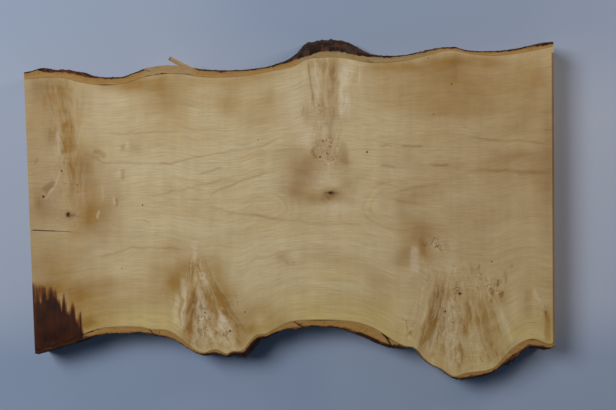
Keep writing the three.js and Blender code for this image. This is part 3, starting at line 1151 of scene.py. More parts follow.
@dataclass(frozen=True)
class MapleFinish:
    """Bare planed maple with its rings, fibres, burl eyes and stains."""

    knots: tuple[Knot, ...]
    dark_lines: tuple[DarkLine, ...]
    pale: Colour = (0.635, 0.500, 0.290, 1.0)
    mid: Colour = (0.58, 0.434, 0.234, 1.0)
    latewood: Colour = (0.80, 0.68, 0.54, 1.0)
    brown: Colour = (0.60, 0.47, 0.36, 1.0)
    gold: Colour = (0.60, 0.43, 0.18, 1.0)
    cream: Colour = (0.70, 0.58, 0.405, 1.0)
    sap: Colour = (0.95, 0.93, 0.66, 1.0)
    curl: Colour = (0.50, 0.33, 0.20, 1.0)
    grey: Colour = (0.77, 0.715, 0.665, 1.0)
    # The dark colour of the knots also paints the shade lines along the right saw cut and in the drying
    # check.
    dark: Colour = (0.125, 0.055, 0.024, 1.0)
    rot: Colour = (0.018, 0.0032, 0.001, 1.0)
    rot_warm: Colour = (0.080, 0.018, 0.0025, 1.0)
    rot_edge: Colour = (0.42, 0.235, 0.10, 1.0)
    end: Colour = (0.74, 0.66, 0.56, 1.0)
    rind: Colour = (0.50, 0.36, 0.22, 1.0)
    ring_width: float = 2.6 * MM
    pith_depth: float = 40 * MM
    relief: float = 0.12 * MM

    def ring_lines(self, shader: Shader, at: Figure) -> Value:
        """The dark lines of the rings' late wood, from 0 to 1, unevenly spaced and of uneven strength.

        Args:
            shader: The finish that is being made.
            at: What the finish reads at the place.

        Returns:
            The strength of the lines.
        """
        total: Value | float = 0.0
        kinds = ((0.42, 2.4, 0.022, 0.8), (1.1, 5.0, 0.035, 0.5), (0.2, 1.6, 0.012, 0.7))
        for pace, length, width, strength in kinds:
            level = shader.noise(shader.vector(at.rings * pace, at.along * length, 17.0 * pace), 1.0, 2.0)
            line = (level - 0.5).size().step(width, width * 0.15)
            fading = shader.noise(shader.vector(at.rings * pace * 0.8, at.along * 4.0, 5.0), 1.0, 1.0)
            total = line * fading.step(0.36, 0.62) * strength + total
        return total

    def curls(self, shader: Shader, point: Value) -> tuple[Value, Value]:
        """The tiny dark and pale curls round a burl's sleeping buds, each from 0 to 1.

        Args:
            shader: The finish that is being made.
            point: The place, on the piece itself.

        Returns:
            The dark curls and the pale ones.
        """
        tall = shader.node("ShaderNodeVectorMath", {"operation": "MULTIPLY"}, {0: point, 1: (1.0, 0.6, 1.0)})
        swirl = shader.noise(tall, 170.0, 2.0, 2.6)
        patchy = shader.noise(point, 100.0, 1.0).step(0.44, 0.62)
        dark = (swirl - 0.5).size().step(0.06, 0.01) * patchy
        pale = (swirl - 0.64).size().step(0.09, 0.0) * patchy
        mottled = shader.noise(tall, 190.0, 2.0, 1.0)
        return dark + mottled.step(0.53, 0.75) * 0.45, pale + mottled.step(0.47, 0.28) * 0.6

    def holes(self, shader: Shader, at: Figure) -> Value:
        """The knots and pinholes as dark spots, from 0 to 1.

        Args:
            shader: Not used.
            at: What the finish reads at the place.

        Returns:
            The strength of the spots.
        """
        total: Value | float = 0.0
        for knot in self.knots:
            across = (at.x - knot.at[0] * MM) / (knot.reach[0] * MM)
            down = (at.y - knot.at[1] * MM) / (knot.reach[1] * MM)
            near = (across * across + down * down).sum("SQRT")
            total = near.step(1.7, 0.6) * knot.dark + total
        return total

    def wood(self, shader: Shader, at: Figure) -> Value:
        """The plain wood with its ring lines, which are stronger on the sawn ends.

        Args:
            shader: The finish that is being made.
            at: What the finish reads at the place.

        Returns:
            The colour.
        """
        colour = shader.mixed(at.broad.step(0.32, 0.68), self.pale, self.mid)
        rings = self.ring_lines(shader, at)
        return shader.stained(colour, (rings * 0.33 * at.calm + at.end * rings * 0.3).held(), self.latewood)

    def marked(self, shader: Shader, at: Figure, colour: Value) -> Value:
        """The colour under the burls' brown, gold and cream marks, the sapwood and the weathered grey.

        Args:
            shader: The finish that is being made.
            at: What the finish reads at the place.
            colour: The colour so far.

        Returns:
            The colour with the marks.
        """
        streaky = at.fibre * 0.6 + at.drift * 0.7 + at.warp * 0.8 + 1.0
        brown = (at.brown * (streaky + at.flame * 0.3) + at.upright * 0.2 + at.flame * 0.16).held()
        gold = (at.gold * (streaky + at.flame * 0.5) + at.upright * 0.2 + at.flame * 0.16).held()
        cream = (at.cream * (streaky - at.flame * 0.7) - at.upright * 0.3 - at.flame * 0.22).held()
        colour = shader.stained(colour, brown, self.brown)
        colour = shader.stained(colour, gold, self.gold)
        colour = shader.mixed((cream * 0.85).held(), colour, self.cream)
        colour = shader.stained(colour, (at.sap * (0.8 + at.warp)).held(), self.sap)
        return shader.stained(colour, at.greyed.held(), self.grey)

    def shaded(self, shader: Shader, at: Figure, colour: Value) -> Value:
        """The colour with the light and dark of each fibre, up to twice as bright.

        Args:
            shader: The finish that is being made.
            at: What the finish reads at the place.
            colour: The colour so far.

        Returns:
            The colour with its light and dark.
        """
        shade = at.fibre * 0.30 + at.upright * 0.30 + at.ripple * 0.10 - at.flecks * 0.06 * at.calm
        grey = (0.5 + shade + at.drift * 0.10 * at.calm).clamped()
        tone = shader.node("ShaderNodeCombineColor", None, {0: grey, 1: grey, 2: grey})
        colour = shader.mixed(1.0, colour, tone, "MULTIPLY")
        return shader.mixed(1.0, colour, (2.0, 2.0, 2.0, 1.0), "MULTIPLY")

    def rotted(self, shader: Shader, at: Figure, colour: Value) -> Value:
        """The colour under the dark rot and its frayed fringe.

        Args:
            shader: The finish that is being made.
            at: What the finish reads at the place.
            colour: The colour so far.

        Returns:
            The colour with the rot.
        """
        fringe = shader.noise(shader.vector(at.x * 520.0, at.y * 34.0), 1.0, 3.0) - 0.5
        blotch = shader.noise(shader.vector(at.x * 90.0, at.y * 60.0, 4.0), 1.0, 3.0) - 0.5
        frayed = at.rot + fringe * 0.8 * at.rot.step(0.02, 0.3) * (1.4 - at.rot).held()
        colour = shader.stained(colour, frayed.step(0.04, 0.5), self.rot_edge)
        warm_edge = at.x.step(-236.5 * MM, -241.5 * MM) * 0.55 + frayed.step(1.0, 0.6)
        warmth = (fringe * 0.9 + blotch * 1.5 + 0.32 + warm_edge).held()
        return shader.mixed(frayed.step(0.38, 0.95), colour, shader.mixed(warmth, self.rot, self.rot_warm))

    def make(self) -> bpy.types.Material:
        """Builds the finish.

        Returns:
            The material.
        """
        shader = Shader("planed maple")
        at = Figure(shader, self.ring_width)
        dark_curls, pale_curls = self.curls(shader, at.point)
        eyes = (at.curl * dark_curls).held()

        colour = self.marked(shader, at, self.wood(shader, at))
        colour = shader.mixed((at.curl * pale_curls * 0.6).held(), colour, self.cream)
        colour = shader.stained(colour, eyes, self.curl)
        colour = self.rotted(shader, at, self.shaded(shader, at, colour))
        colour = shader.stained(colour, (at.rind * 0.9).held(), self.rind)
        colour = shader.stained(colour, (at.end * 0.85 + at.under * 0.25).held(), self.end)
        on_face = at.z.step(30.0 * MM, 33.0 * MM) * (1.0 - at.end)
        # Painted shade: the dark lines include a shadow strip along the right saw cut and the shade in the
        # drying check.
        spots = self.holes(shader, at) + shader.strokes(self.dark_lines, at.x, at.y)
        colour = shader.mixed((spots * on_face).held() * 0.92, colour, self.dark)

        saw = shader.noise(shader.vector(at.x * 420.0 + at.warp * 3.0, at.y * 5.0), 1.0, 2.0)
        end_saw = shader.noise(shader.vector(at.y * 24.0, at.z * 700.0), 1.0, 3.0)
        sawn = at.under * saw * 1.6 + at.end * end_saw * 1.4
        height = at.fibre * 0.25 - at.flecks * 0.2 + sawn - eyes * 0.4
        roughness = (0.56 + at.fibre * 0.12 + at.end * 0.2 + at.under * 0.12 - at.rot * 0.06).held()
        return shader.finish(colour, roughness, height, self.relief)


@dataclass(frozen=True)
class BarkFinish:
    """Bark sawn through on the planed face: tan inner bark, then a thin dark craggy skin, with painted shade
    in its furrows and splits.
    """

    tan: Colour = (0.385, 0.198, 0.055, 1.0)
    tan_inner: Colour = (0.43, 0.255, 0.085, 1.0)
    torn: Colour = (0.42, 0.285, 0.145, 1.0)
    pale: Colour = (0.37, 0.265, 0.13, 1.0)
    red: Colour = (0.125, 0.042, 0.018, 1.0)
    russet: Colour = (0.190, 0.075, 0.027, 1.0)
    brown: Colour = (0.085, 0.038, 0.020, 1.0)
    # The dark of the furrows, partly painted shade, and the painted shade of the splits.
    dark_furrows_and_crack_shade: Colour = (0.022, 0.012, 0.008, 1.0)
    grey: Colour = (0.066, 0.040, 0.028, 1.0)
    lichen: Colour = (0.17, 0.12, 0.085, 1.0)
    rot: Colour = (0.045, 0.013, 0.005, 1.0)
    fibre_stain: Colour = (0.66, 0.55, 0.42, 1.0)
    lump_stain: Colour = (0.62, 0.48, 0.36, 1.0)
    skin_stain: Colour = (0.6, 0.55, 0.5, 1.0)
    skin_depth: float = 1.6
    aged_at: float = 38 * MM
    relief: float = 0.5 * MM
    crack_shade: tuple[DarkLine, ...] = BARK_CRACK_SHADE

    def make(self) -> bpy.types.Material:
        """Builds the finish.

        Returns:
            The material.
        """
        shader = Shader("maple bark")
        point = shader.point()
        x, y, z = shader.parts(point)
        skin, inward, crag = shader.painted("bark")
        torn, bleached, rot = shader.painted("wear")
        stretched = shader.vector(x * 90.0, y * 800.0, z * 500.0)
        fibre = shader.noise(stretched, 1.0, 3.0)
        lumps = shader.noise(point, 260.0, 3.0)
        fine = shader.noise(point, 900.0, 3.0)
        patch = shader.noise(point, 75.0, 3.0)

        inner = shader.mixed(inward, self.tan, self.tan_inner)
        inner = shader.mixed((bleached * 0.85).held(), inner, self.pale)
        inner = shader.mixed((torn * (0.35 + fibre)).held(), inner, self.torn)
        inner = shader.stained(inner, fibre.step(0.38, 0.66) * 0.35, self.fibre_stain)
        inner = shader.stained(inner, lumps.step(0.56, 0.72) * 0.35, self.lump_stain)

        on_swelling = (x - self.aged_at).size().step(34.0 * MM, 22.0 * MM) * 0.9 + 0.12
        aged = patch.step(0.34, 0.52) * y.step(-20.0 * MM, 20.0 * MM) * on_swelling
        outer = shader.mixed(aged, shader.mixed(patch.step(0.4, 0.6), self.red, self.brown), self.grey)
        height = crag + (lumps - 0.5) * 0.9 + (fine - 0.5) * 0.4
        russet = y.step(20.0 * MM, -20.0 * MM)
        outer = shader.mixed(russet * 0.6, outer, self.russet)
        # Partly painted shade: where the skin's relief is low the colour turns to the dark furrow colour,
        # both the bark's darker furrows and the shade in them.
        outer = shader.mixed(height.step(0.74, 0.32) * (1.0 - russet * 0.35), outer, self.dark_furrows_and_crack_shade)
        outer = shader.mixed(fine.step(0.62, 0.8) * aged * 0.5, outer, self.lichen)
        outer = shader.stained(outer, fine.step(0.35, 0.7) * 0.5, self.skin_stain)
        ragged = (lumps - 0.5) * 3.2 + (patch - 0.5) * 2.0
        rusty = (skin + ragged).step(self.skin_depth * 1.7, self.skin_depth * 0.7)
        skinned = (skin + ragged + torn * 3.5).step(self.skin_depth * 1.1, self.skin_depth * 0.75)
        colour = shader.mixed(rusty * 0.75 * (1.0 - torn).held(), inner, self.red)
        colour = shader.mixed(skinned, colour, outer)
        colour = shader.mixed((rot * (1.25 - fibre * 0.5)).held(), colour, self.rot)
        sawn = z.step(36.0 * MM, 38.5 * MM)
        # Painted shade: the crack lines turn the sawn top of the bark dark where it has split.
        colour = shader.mixed((shader.strokes(self.crack_shade, x, y) * sawn).held() * 0.95, colour, self.dark_furrows_and_crack_shade)

        roughness = (0.84 + (fine - 0.5) * 0.2).held()
        return shader.finish(colour, roughness, lumps * 0.6 + fine * 0.5 + fibre * 0.4, self.relief)


@dataclass(frozen=True)
class FloorFinish:
    """The smooth pale blue-grey sheet that the slab lies on, with painted shade: darker below and above the
    slab and a little lighter at the far left, as the light falls off and the slab's shadow lies.
    """

    colour: Colour = (0.42, 0.475, 0.605, 1.0)
    # The painted shade colour that the floor turns to where the light falls off.
    painted_shade: Colour = (0.305, 0.375, 0.525, 1.0)

    def make(self) -> bpy.types.Material:
        """Builds the finish.

        Returns:
            The material.
        """
        shader = Shader("studio floor")
        x, y, _ = shader.parts(shader.point())
        cloudy = shader.noise(shader.point(), 4.0, 2.0)
        # Painted shade: the floor darkens below and above the slab, less so at the far left, as the light
        # falls off and the slab's shadow lies.
        lower = y.step(-0.08, -0.16) * (1.0 - x.step(0.0, 0.06) * x.step(0.2, 0.14) * 0.4)
        upper = y.step(0.08, 0.2) * (0.45 + x.step(-0.15, 0.04) * 0.65 - x.step(0.1, 0.3) * 0.3)
        fading = lower + upper - x.step(-0.26, -0.36) * 0.1
        colour = shader.mixed((fading + cloudy * 0.12).held(), self.colour, self.painted_shade)
        fine = shader.noise(shader.point(), 900.0, 1.0)
        return shader.finish(colour, 0.8 + (fine - 0.5) * 0.05, fine, 0.02 * MM)


# ---------------------------------------------------------------- the board


@dataclass
class MapleBoard:
    """The wood of the slab: one flat-sawn board between its waney edges and two saw cuts."""

    outline: Outline
    name: str = "figured_maple_board"
    node: str = "maple_wood"
    slot: str = "wood"
    cell: float = 1.5 * MM
    rows: int = 8
    marks: tuple[Cloud | Streak, ...] = LEFT_END + TOP + HUMP + FIRST_LOBE + RIGHT_LOBE + GRAIN_LINES + ROT
    fans: tuple[Fan, ...] = FANS
    swellings: tuple[Swelling, ...] = SWELLINGS
    knots: tuple[Knot, ...] = KNOTS
    check: DryingCheck = DryingCheck()
    finish: MapleFinish = field(default_factory=lambda: MapleFinish(KNOTS, FACE_LINES_AND_SHADE))
    half_width: float = 140 * MM
    pith_fall: float = 0.035
    sap_width: float = 38.0
    skin: float = 0.1 * MM

    def build(self) -> bpy.types.Object:
        """Builds and dresses the board.

        Returns:
            The finished board.
        """
        piece = self.blank()
        self.shape(piece)
        self.sink_knots(piece)
        self.open_check(piece)
        close(piece, 0.6)
        self.paint(piece)
        piece.data.materials.append(self.finish.make())
        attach(piece, BODY)
        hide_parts(self.node)
        return piece

    def blank(self) -> bpy.types.Object:
        """A unit square sheet with walls drawn down from its rim and its underside filled.

        Returns:
            The closed blank, one unit long, wide and high.
        """
        low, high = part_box(self.node)
        along = round((high.x - low.x) / self.cell)
        across = round((high.y - low.y) / self.cell)
        piece = sheet(self.name, along, across)
        drop = {"value": (0.0, 0.0, -1.0 / self.rows)}
        with editing(piece):
            bpy.ops.mesh.select_all(action="DESELECT")
            bpy.ops.mesh.select_mode(type="EDGE")
            bpy.ops.mesh.select_non_manifold()
            for _ in range(self.rows):
                bpy.ops.mesh.extrude_edges_move(TRANSFORM_OT_translate=drop)
            bpy.ops.mesh.edge_face_add()
        return piece

    def shape(self, piece: bpy.types.Object) -> None:
        """Fits the unit blank between the waney edges and the saw cuts.

        Args:
            piece: The unit blank.
        """
        unit = places(piece)
        u, v = unit[:, 0] + 0.5, unit[:, 1] + 0.5
        z = (1.0 + unit[:, 2]) * self.outline.thickness
        y = mix(-self.half_width, self.half_width, v)
        x = np.zeros_like(y)
        for _ in range(SETTLE_STEPS):
            x = mix(self.outline.cut_x(0, y), self.outline.cut_x(1, y), u)
            lower = self.outline.wood_edge(Side.LOWER, x, z)
            upper = self.outline.wood_edge(Side.UPPER, x, z)
            y = mix(lower, upper, v)
        place(piece, columns(x, y, z))

    def sink_knots(self, piece: bpy.types.Object) -> None:
        """Bores the pinholes and the hearts of the knots into the planed face.

        Args:
            piece: The board.
        """
        top = self.outline.thickness
        begin()
        for knot in self.knots:
            depth = knot.depth * MM
            wide = max(knot.reach) * MM
            bpy.ops.mesh.primitive_cone_add(
                vertices=14,
                radius1=wide * 0.3,
                radius2=wide * 0.8,
                depth=depth,
                location=(knot.at[0] * MM, knot.at[1] * MM, top - depth / 2.0 + 0.05 * MM),
                scale=(knot.reach[0] * MM / wide, knot.reach[1] * MM / wide, 1.0),
            )
        bpy.ops.object.select_all(action="DESELECT")
        cones = [thing for thing in bpy.data.objects if thing.name.startswith("Cone")]
        for cone in cones:
            cone.select_set(True)
        bpy.context.view_layer.objects.active = cones[0]
        bpy.ops.object.join()
        bpy.ops.object.transform_apply(location=True, rotation=True, scale=True)
        cut(piece, bpy.context.object)

    def open_check(self, piece: bpy.types.Object) -> None:
        """Opens the drying check from the left end: a blade that narrows to its tip and to its root.

        Args:
            piece: The board.
        """
        (x0, y0), (x1, y1) = self.check.mouth, self.check.tip
        top = self.outline.thickness
        begin()
        bpy.ops.mesh.primitive_grid_add(x_subdivisions=10, y_subdivisions=1, size=1.0)
        blade = bpy.context.object
        with editing(blade):
            bpy.ops.mesh.extrude_region_move(TRANSFORM_OT_translate={"value": (0.0, 0.0, -1.0)})
        unit = places(blade)
        part = unit[:, 0] + 0.5
        narrow = (1.0 - part * 0.85) * (1.0 + unit[:, 2] * 0.8)
        sway = lattice_noise(columns(part * 7.0, 0.0, 0.0), 5) * 0.25
        y = mix(y0, y1, part) + sway + unit[:, 1] * self.check.width * narrow
        depth = self.check.depth * (1.0 - part * 0.7)
        z = top + 0.2 * MM + unit[:, 2] * depth * MM
        place(blade, columns(mix(x0, x1, part) * MM, y * MM, z))
        with editing(blade):
            bpy.ops.mesh.normals_make_consistent(inside=False)
        cut(piece, blade)

    def paint(self, piece: bpy.types.Object) -> None:
        """Stores the grain and the marks of the figure on the vertices.

        Args:
            piece: The board.
        """
        points = places(piece)
        x, y, z = points.T
        lower = self.outline.wood_edge(Side.LOWER, x, z)
        upper = self.outline.wood_edge(Side.UPPER, x, z)
        part = np.clip((y - lower) / (upper - lower), 0.0, 1.0)
        across = (part - 0.5) * 2.0 * self.half_width
        across = mix(across, y, 0.6 * (1.0 - np.abs(2.0 * part - 1.0)))

        wave = columns(x * 18.0, y * 18.0, z * 18.0)
        px = x / MM + crags(wave * 2.0, 11) * 1.3 + crags(wave * 9.0, 21, 2) * 0.8
        py = y / MM + crags(wave * 2.0, 31) * 1.6 + crags(wave * 6.0, 41, 2) * 1.2

        radius = np.hypot(across, self.finish.pith_depth - self.pith_fall * x + z - self.outline.thickness)
        for burl in self.swellings:
            far = ((px - burl.at[0]) / burl.reach[0]) ** 2 + ((py - burl.at[1]) / burl.reach[1]) ** 2
            radius = radius + burl.height * MM * np.exp(-far)
        radius = radius + lattice_noise(columns(x * 9.0, across * 14.0, z * 9.0), 51) * 2.4 * MM
        drawn = across + (radius - np.abs(across)) * 0.3
        paint(piece, "grain", columns(x, drawn, radius / self.finish.ring_width))

        covers = {tint: np.zeros_like(x) for tint in Tint}
        for mark in self.marks:
            spot = (x / MM, y / MM) if mark.tint is STAIN else (px, py)
            covers[mark.tint] += mark.cover(*spot)
        from_lower = (y - lower) / MM
        fans = np.stack([fan.read(px, py) for fan in self.fans])
        arch = 1.0 - np.clip(fans[:, :, 2].sum(axis=0), 0.0, 1.0)
        covers[SAP] += (1.0 - blend(4.0, self.sap_width, from_lower)) * arch
        paint(piece, "tone", columns(covers[BROWN], covers[GOLD], covers[CREAM]))
        paint(piece, "burl", columns(covers[CURL], covers[SAP], covers[STAIN]))

        strongest = fans[:, :, 2].argmax(axis=0)
        chosen = fans[strongest, np.arange(len(x))]
        chosen[:, :2] *= MM
        paint(piece, "fan", chosen)

        wall = np.minimum(part, 1.0 - part) * (upper - lower) < self.skin
        ends = np.minimum(x - self.outline.cut_x(0, y), self.outline.cut_x(1, y) - x) < self.skin
        paint(piece, "rind", columns(np.where(wall & ~ends, 1.0, 0.0), covers[GREY], 0.0))


# ---------------------------------------------------------------- the bark


@dataclass(frozen=True)
class Opening:
    """A stretch where the bark has come away from the wood. Millimetres along X and across the crack."""

    start: float
    end: float
    width: float

    def at(self, x: np.ndarray) -> np.ndarray:
        """How far the crack has opened at each x."""
        middle, half = (self.start + self.end) / 2.0, (self.end - self.start) / 2.0
        return self.width * np.clip(1.0 - ((x - middle) / half) ** 2, 0.0, 1.0) ** 0.5


@dataclass(frozen=True)
class Nub:
    """A lump of outer bark that stands out of the edge. Millimetres."""

    at: float
    half: float
    height: float

    def rise(self, x: np.ndarray) -> np.ndarray:
        """How far the lump stands out at each x."""
        return self.height * np.clip(1.0 - ((x - self.at) / self.half) ** 2, 0.0, 1.0)


@dataclass
class BarkStrip:
    """One strip of bark along a waney edge. Sizes in millimetres unless a comment says otherwise."""

    outline: Outline
    side: Side
    node: str
    name: str
    finish: bpy.types.Material
    openings: tuple[Opening, ...] = ()
    nubs: tuple[Nub, ...] = ()
    torn: tuple[Point, ...] = ()
    bleached: tuple[Point, ...] = ()
    craggy: tuple[tuple[float, float, float], ...] = ()
    rot_until: float = -400.0
    slot: str = "bark"
    cell: float = 0.95
    plain_crag: float = 0.55
    seam: float = 0.04
    thinnest: float = 0.3
    skin_shift: float = 0.0
    deep_skin: tuple[tuple[float, float, float], ...] = ()
    top_steps: tuple[float, ...] = (0.0, 0.25, 0.5, 0.68, 0.8, 0.88, 0.94, 0.98)
    wall_steps: int = 34
    foot_steps: int = 3
    back_steps: int = 6

    def build(self) -> bpy.types.Object:
        """Builds and dresses the strip.

        Returns:
            The finished strip.
        """
        self.top_line = self.outline.bark_line(self.node, self.side, self.outline.thickness)
        self.foot_line = self.outline.bark_line(self.node, self.side, 0.0)
        piece = self.tube()
        close(piece, 0.9)
        piece.data.materials.append(self.finish)
        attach(piece, BODY)
        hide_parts(self.node)
        return piece

    def section(self) -> tuple[np.ndarray, np.ndarray]:
        """The strip's section as a closed loop.

        Returns:
            The part of the way from the wood to the outer skin, and the part of the way up, at each corner.
        """
        wall = np.linspace(1.0, 0.0, self.wall_steps)
        foot = np.linspace(1.0, 0.0, self.foot_steps + 1)[1:]
        back = np.linspace(0.0, 1.0, self.back_steps + 1)[1:]
        outward = np.concatenate([self.top_steps, np.ones_like(wall), foot, np.zeros_like(back)])
        upward = np.concatenate([np.ones(len(self.top_steps)), wall, np.zeros_like(foot), back])
        return outward, upward

    def bounds(self, y: np.ndarray) -> tuple[np.ndarray, np.ndarray]:
        """Where the strip starts and ends along X: at a saw cut, or where the bark has broken away.

        Args:
            y: The places across the board, in metres.

        Returns:
            The strip's two ends at each y, in metres.
        """
        low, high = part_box(self.node)
        left, right = self.outline.cut_x(0, y), self.outline.cut_x(1, y)
        starts_at_cut = low.x < self.outline.cuts[0][1][0] + 20 * MM
        ends_at_cut = high.x > self.outline.cuts[1][0][0] - 20 * MM
        start = left if starts_at_cut else np.full_like(y, low.x)
        end = right if ends_at_cut else np.full_like(y, high.x)
        return start, end

    def relief(self, x: np.ndarray, z: np.ndarray) -> np.ndarray:
        """The craggy outer skin's height at each place, from about -1 to 1.

        Args:
            x: The places along the board, in millimetres.
            z: The heights above the underside, in millimetres.

        Returns:
            The skin's height.
        """
        coarse = crags(columns(x / 11.0, z / 5.0, 0.0), 61, 2)
        plates = crags(columns(x / 4.4, z / 2.2, 3.0), 71, 3)
        return 0.55 * coarse + 0.65 * np.abs(plates) * 1.6 - 0.45

    def crag_height(self, x: np.ndarray) -> np.ndarray:
        """How high the crags stand at each x: more on a burl's swelling than on a plain stretch.

        Args:
            x: The places along the board, in millimetres.

        Returns:
            The height in millimetres.
        """
        height = np.full_like(x, self.plain_crag)
        for middle, half, extra in self.craggy:
            height += extra * np.exp(-(((x - middle) / half) ** 2))
        return height

    def extra_skin(self, x: np.ndarray) -> np.ndarray:
        """How much thicker the dark skin is at each x: it is deepest on a burl's swelling.

        Args:
            x: The places along the board, in millimetres.

        Returns:
            The depth to add, in millimetres.
        """
        depth = (self.crag_height(x) - self.plain_crag) * 2.3 + self.skin_shift
        for middle, half, extra in self.deep_skin:
            depth += extra * np.exp(-(((x - middle) / half) ** 2))
        return depth

    def crack(self, x: np.ndarray, up: np.ndarray) -> np.ndarray:
        """How far the bark has parted from the wood at each x, in millimetres: most at the planed face.

        Args:
            x: The places along the board, in millimetres.
            up: The part of the way from the underside to the planed face.

        Returns:
            The width of the gap.
        """
        gap = sum((one.at(x) for one in self.openings), np.zeros_like(x))
        ragged = 0.8 + 0.7 * lattice_noise(columns(x / 2.4, 0.0, 0.0), 95)
        return gap * (0.45 + 0.55 * blend(0.0, 1.0, up)) * ragged

    def wrap(
        self, along: np.ndarray, out: np.ndarray, up: np.ndarray
    ) -> tuple[np.ndarray, np.ndarray, np.ndarray]:
        """Where the places of the still smooth strip lie.

        Args:
            along: The part of the way from the strip's start to its end.
            out: The part of the way from the wood to the outer skin.
            up: The part of the way from the underside to the planed face.

        Returns:
            Each place's x and y in metres, and the strip's thickness there in millimetres.
        """
        z = up * self.outline.thickness
        sign, thinnest = float(self.side.value), self.thinnest * MM
        x, y = along, np.full_like(z, sign * 130 * MM)
        for _ in range(SETTLE_STEPS):
            start, end = self.bounds(y)
            x = mix(start, end, along)
            wood = self.outline.wood_edge(self.side, x, z)
            inner = wood + sign * (self.seam + self.crack(x / MM, up)) * MM
            outer = mix(self.top_line.at(x), self.foot_line.at(x), self.outline.belly(z))
            outer = np.where((outer - inner) * sign < thinnest, inner + sign * thinnest, outer)
            y = mix(inner, outer, out)
        return x, y, np.abs(outer - inner) / MM

    def tube(self) -> bpy.types.Object:
        """Wraps a sheet round the strip's section, roughens it, and closes its seam and ends.

        Returns:
            The closed strip.
        """
        outward, upward = self.section()
        low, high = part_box(self.node)
        around = len(outward)
        piece = sheet(self.name, round((high.x - low.x) / (self.cell * MM)), around)
        unit = places(piece)
        corner = np.rint((unit[:, 1] + 0.5) * around).astype(int) % around
        out, up = outward[corner], upward[corner]
        x, y, thick = self.wrap(unit[:, 0] + 0.5, out, up)
        xm, zm = x / MM, up * self.outline.thickness / MM

        relief = self.relief(xm, zm)
        ragged = crags(columns(1.0, 0.0, zm / 8.0), 101, 2) * (1.0 - up) * 6.0
        torn = self.stretch(xm + ragged, self.torn)
        nubs = sum((nub.rise(xm) for nub in self.nubs), np.zeros_like(xm))
        height = (relief - 0.5) * self.crag_height(xm) + nubs
        height = mix(height, relief * 0.35, torn)
        height = np.maximum(height, -0.6 * thick) * blend(0.75, 1.0, out) * (up > 0.0)
        y = y + self.side.value * height * MM
        sunk = 0.25 + 0.35 * np.abs(crags(columns(xm / 2.2, y / MM / 1.1, 9.0), 81, 2))
        z = (zm - sunk * (up >= 1.0) * blend(0.0, 0.2, out)) * MM
        place(piece, columns(x, np.clip(y, low.y, high.y), z))

        skin = (1.0 - out) * thick - self.extra_skin(xm)
        skin = np.where((up < 1.0) & (out >= 1.0), 0.0, skin)
        paint(piece, "bark", columns(skin, 1.0 - out, np.clip(0.5 + 0.5 * relief, 0.0, 1.0)))
        rot = 1.0 - blend(self.rot_until - 4.0, self.rot_until + 6.0, xm + (1.0 - out) * 3.0)
        paint(piece, "wear", columns(torn, self.stretch(xm, self.bleached), rot))
        weld(piece)
        return piece

    @staticmethod
    def stretch(x: np.ndarray, stretches: tuple[Point, ...]) -> np.ndarray:
        """1 inside any of the stretches of X and 0 outside them, with soft ends.

        Args:
            x: The places along the board, in millimetres.
            stretches: The start and the end of each.

        Returns:
            The part inside.
        """
        total = np.zeros_like(x)
        for start, end in stretches:
            inside = blend(start - 5.0, start + 4.0, x) * (1.0 - blend(end - 4.0, end + 5.0, x))
            total = np.maximum(total, inside)
        return total


@dataclass
class TornSliver:
    """The strip of inner bark that has torn free and stands off the upper edge."""

    outline: Outline
    finish: bpy.types.Material
    name: str = "torn_sliver"
    root: Point = (-84.0, 128.2)
    bend: Point = (-98.0, 133.4)
    tip: Point = (-113.0, 142.0)
    width: float = 4.0
    depth: float = 1.5
    down: float = 1.1
    rounds: int = 40
    around: int = 10

    def build(self) -> bpy.types.Object:
        """Builds the sliver as a flattened tube along its bend.

        Returns:
            The finished sliver.
        """
        piece = sheet(self.name, self.rounds, self.around)
        unit = places(piece)
        t = unit[:, 0] + 0.5
        corner = np.rint((unit[:, 1] + 0.5) * self.around) % self.around
        angle = corner / self.around * 2.0 * np.pi
        root, bend, tip = (np.array(point) for point in (self.root, self.bend, self.tip))
        weights = columns((1 - t) ** 2, 2 * t * (1 - t), t**2)
        path = weights @ np.stack([root, bend, tip])
        way = columns(-2 * (1 - t), 2 - 4 * t, 2 * t) @ np.stack([root, bend, tip])
        way /= np.hypot(way[:, 0], way[:, 1])[:, None]
        ragged = lattice_noise(columns(np.cos(angle) * 1.4, np.sin(angle) * 1.4, t * 9.0), 91)
        girth = 1.0 + 0.16 * ragged - 0.3 * blend(0.3, 0.0, t)
        out = np.cos(angle) * self.width / 2.0 * girth
        x = path[:, 0] - way[:, 1] * out
        y = path[:, 1] + way[:, 0] * out
        z = self.outline.thickness / MM - self.down + np.sin(angle) * self.depth / 2.0 * girth
        place(piece, columns(x, y, z) * MM)
        paint(piece, "bark", columns(3.0, 0.5, 0.6) * np.ones((len(x), 1)))
        paint(piece, "wear", columns(np.ones_like(x), blend(0.0, 1.0, t) * 0.4, blend(0.93, 1.0, t) * 0.6))
        weld(piece)
        close(piece, 0.9)
        piece.data.materials.append(self.finish)
        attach(piece, BODY)
        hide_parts("bark_upper_edge")
        return piece


# ---------------------------------------------------------------- the studio


@dataclass(frozen=True)
class Lamp:
    """A square softbox that faces the middle of the slab. Metres and watts."""

    name: str
    at: tuple[float, float, float]
    size: float
    power: float
    colour: tuple[float, float, float]

    def hang(self) -> None:
        """Hangs the softbox at its place and turns it."""
        light = bpy.data.lights.new(self.name, "AREA")
        light.shape = "SQUARE"
        light.size = self.size
        light.energy = self.power
        light.color = self.colour
        lamp = bpy.data.objects.new(self.name, light)
        aim = bpy.data.objects.new(self.name + " aim", None)
        bpy.context.scene.collection.objects.link(lamp)
        bpy.context.scene.collection.objects.link(aim)
        lamp.location = self.at
        track = lamp.constraints.new("TRACK_TO")
        track.target = aim
        track.track_axis = "TRACK_NEGATIVE_Z"
        track.up_axis = "UP_Y"


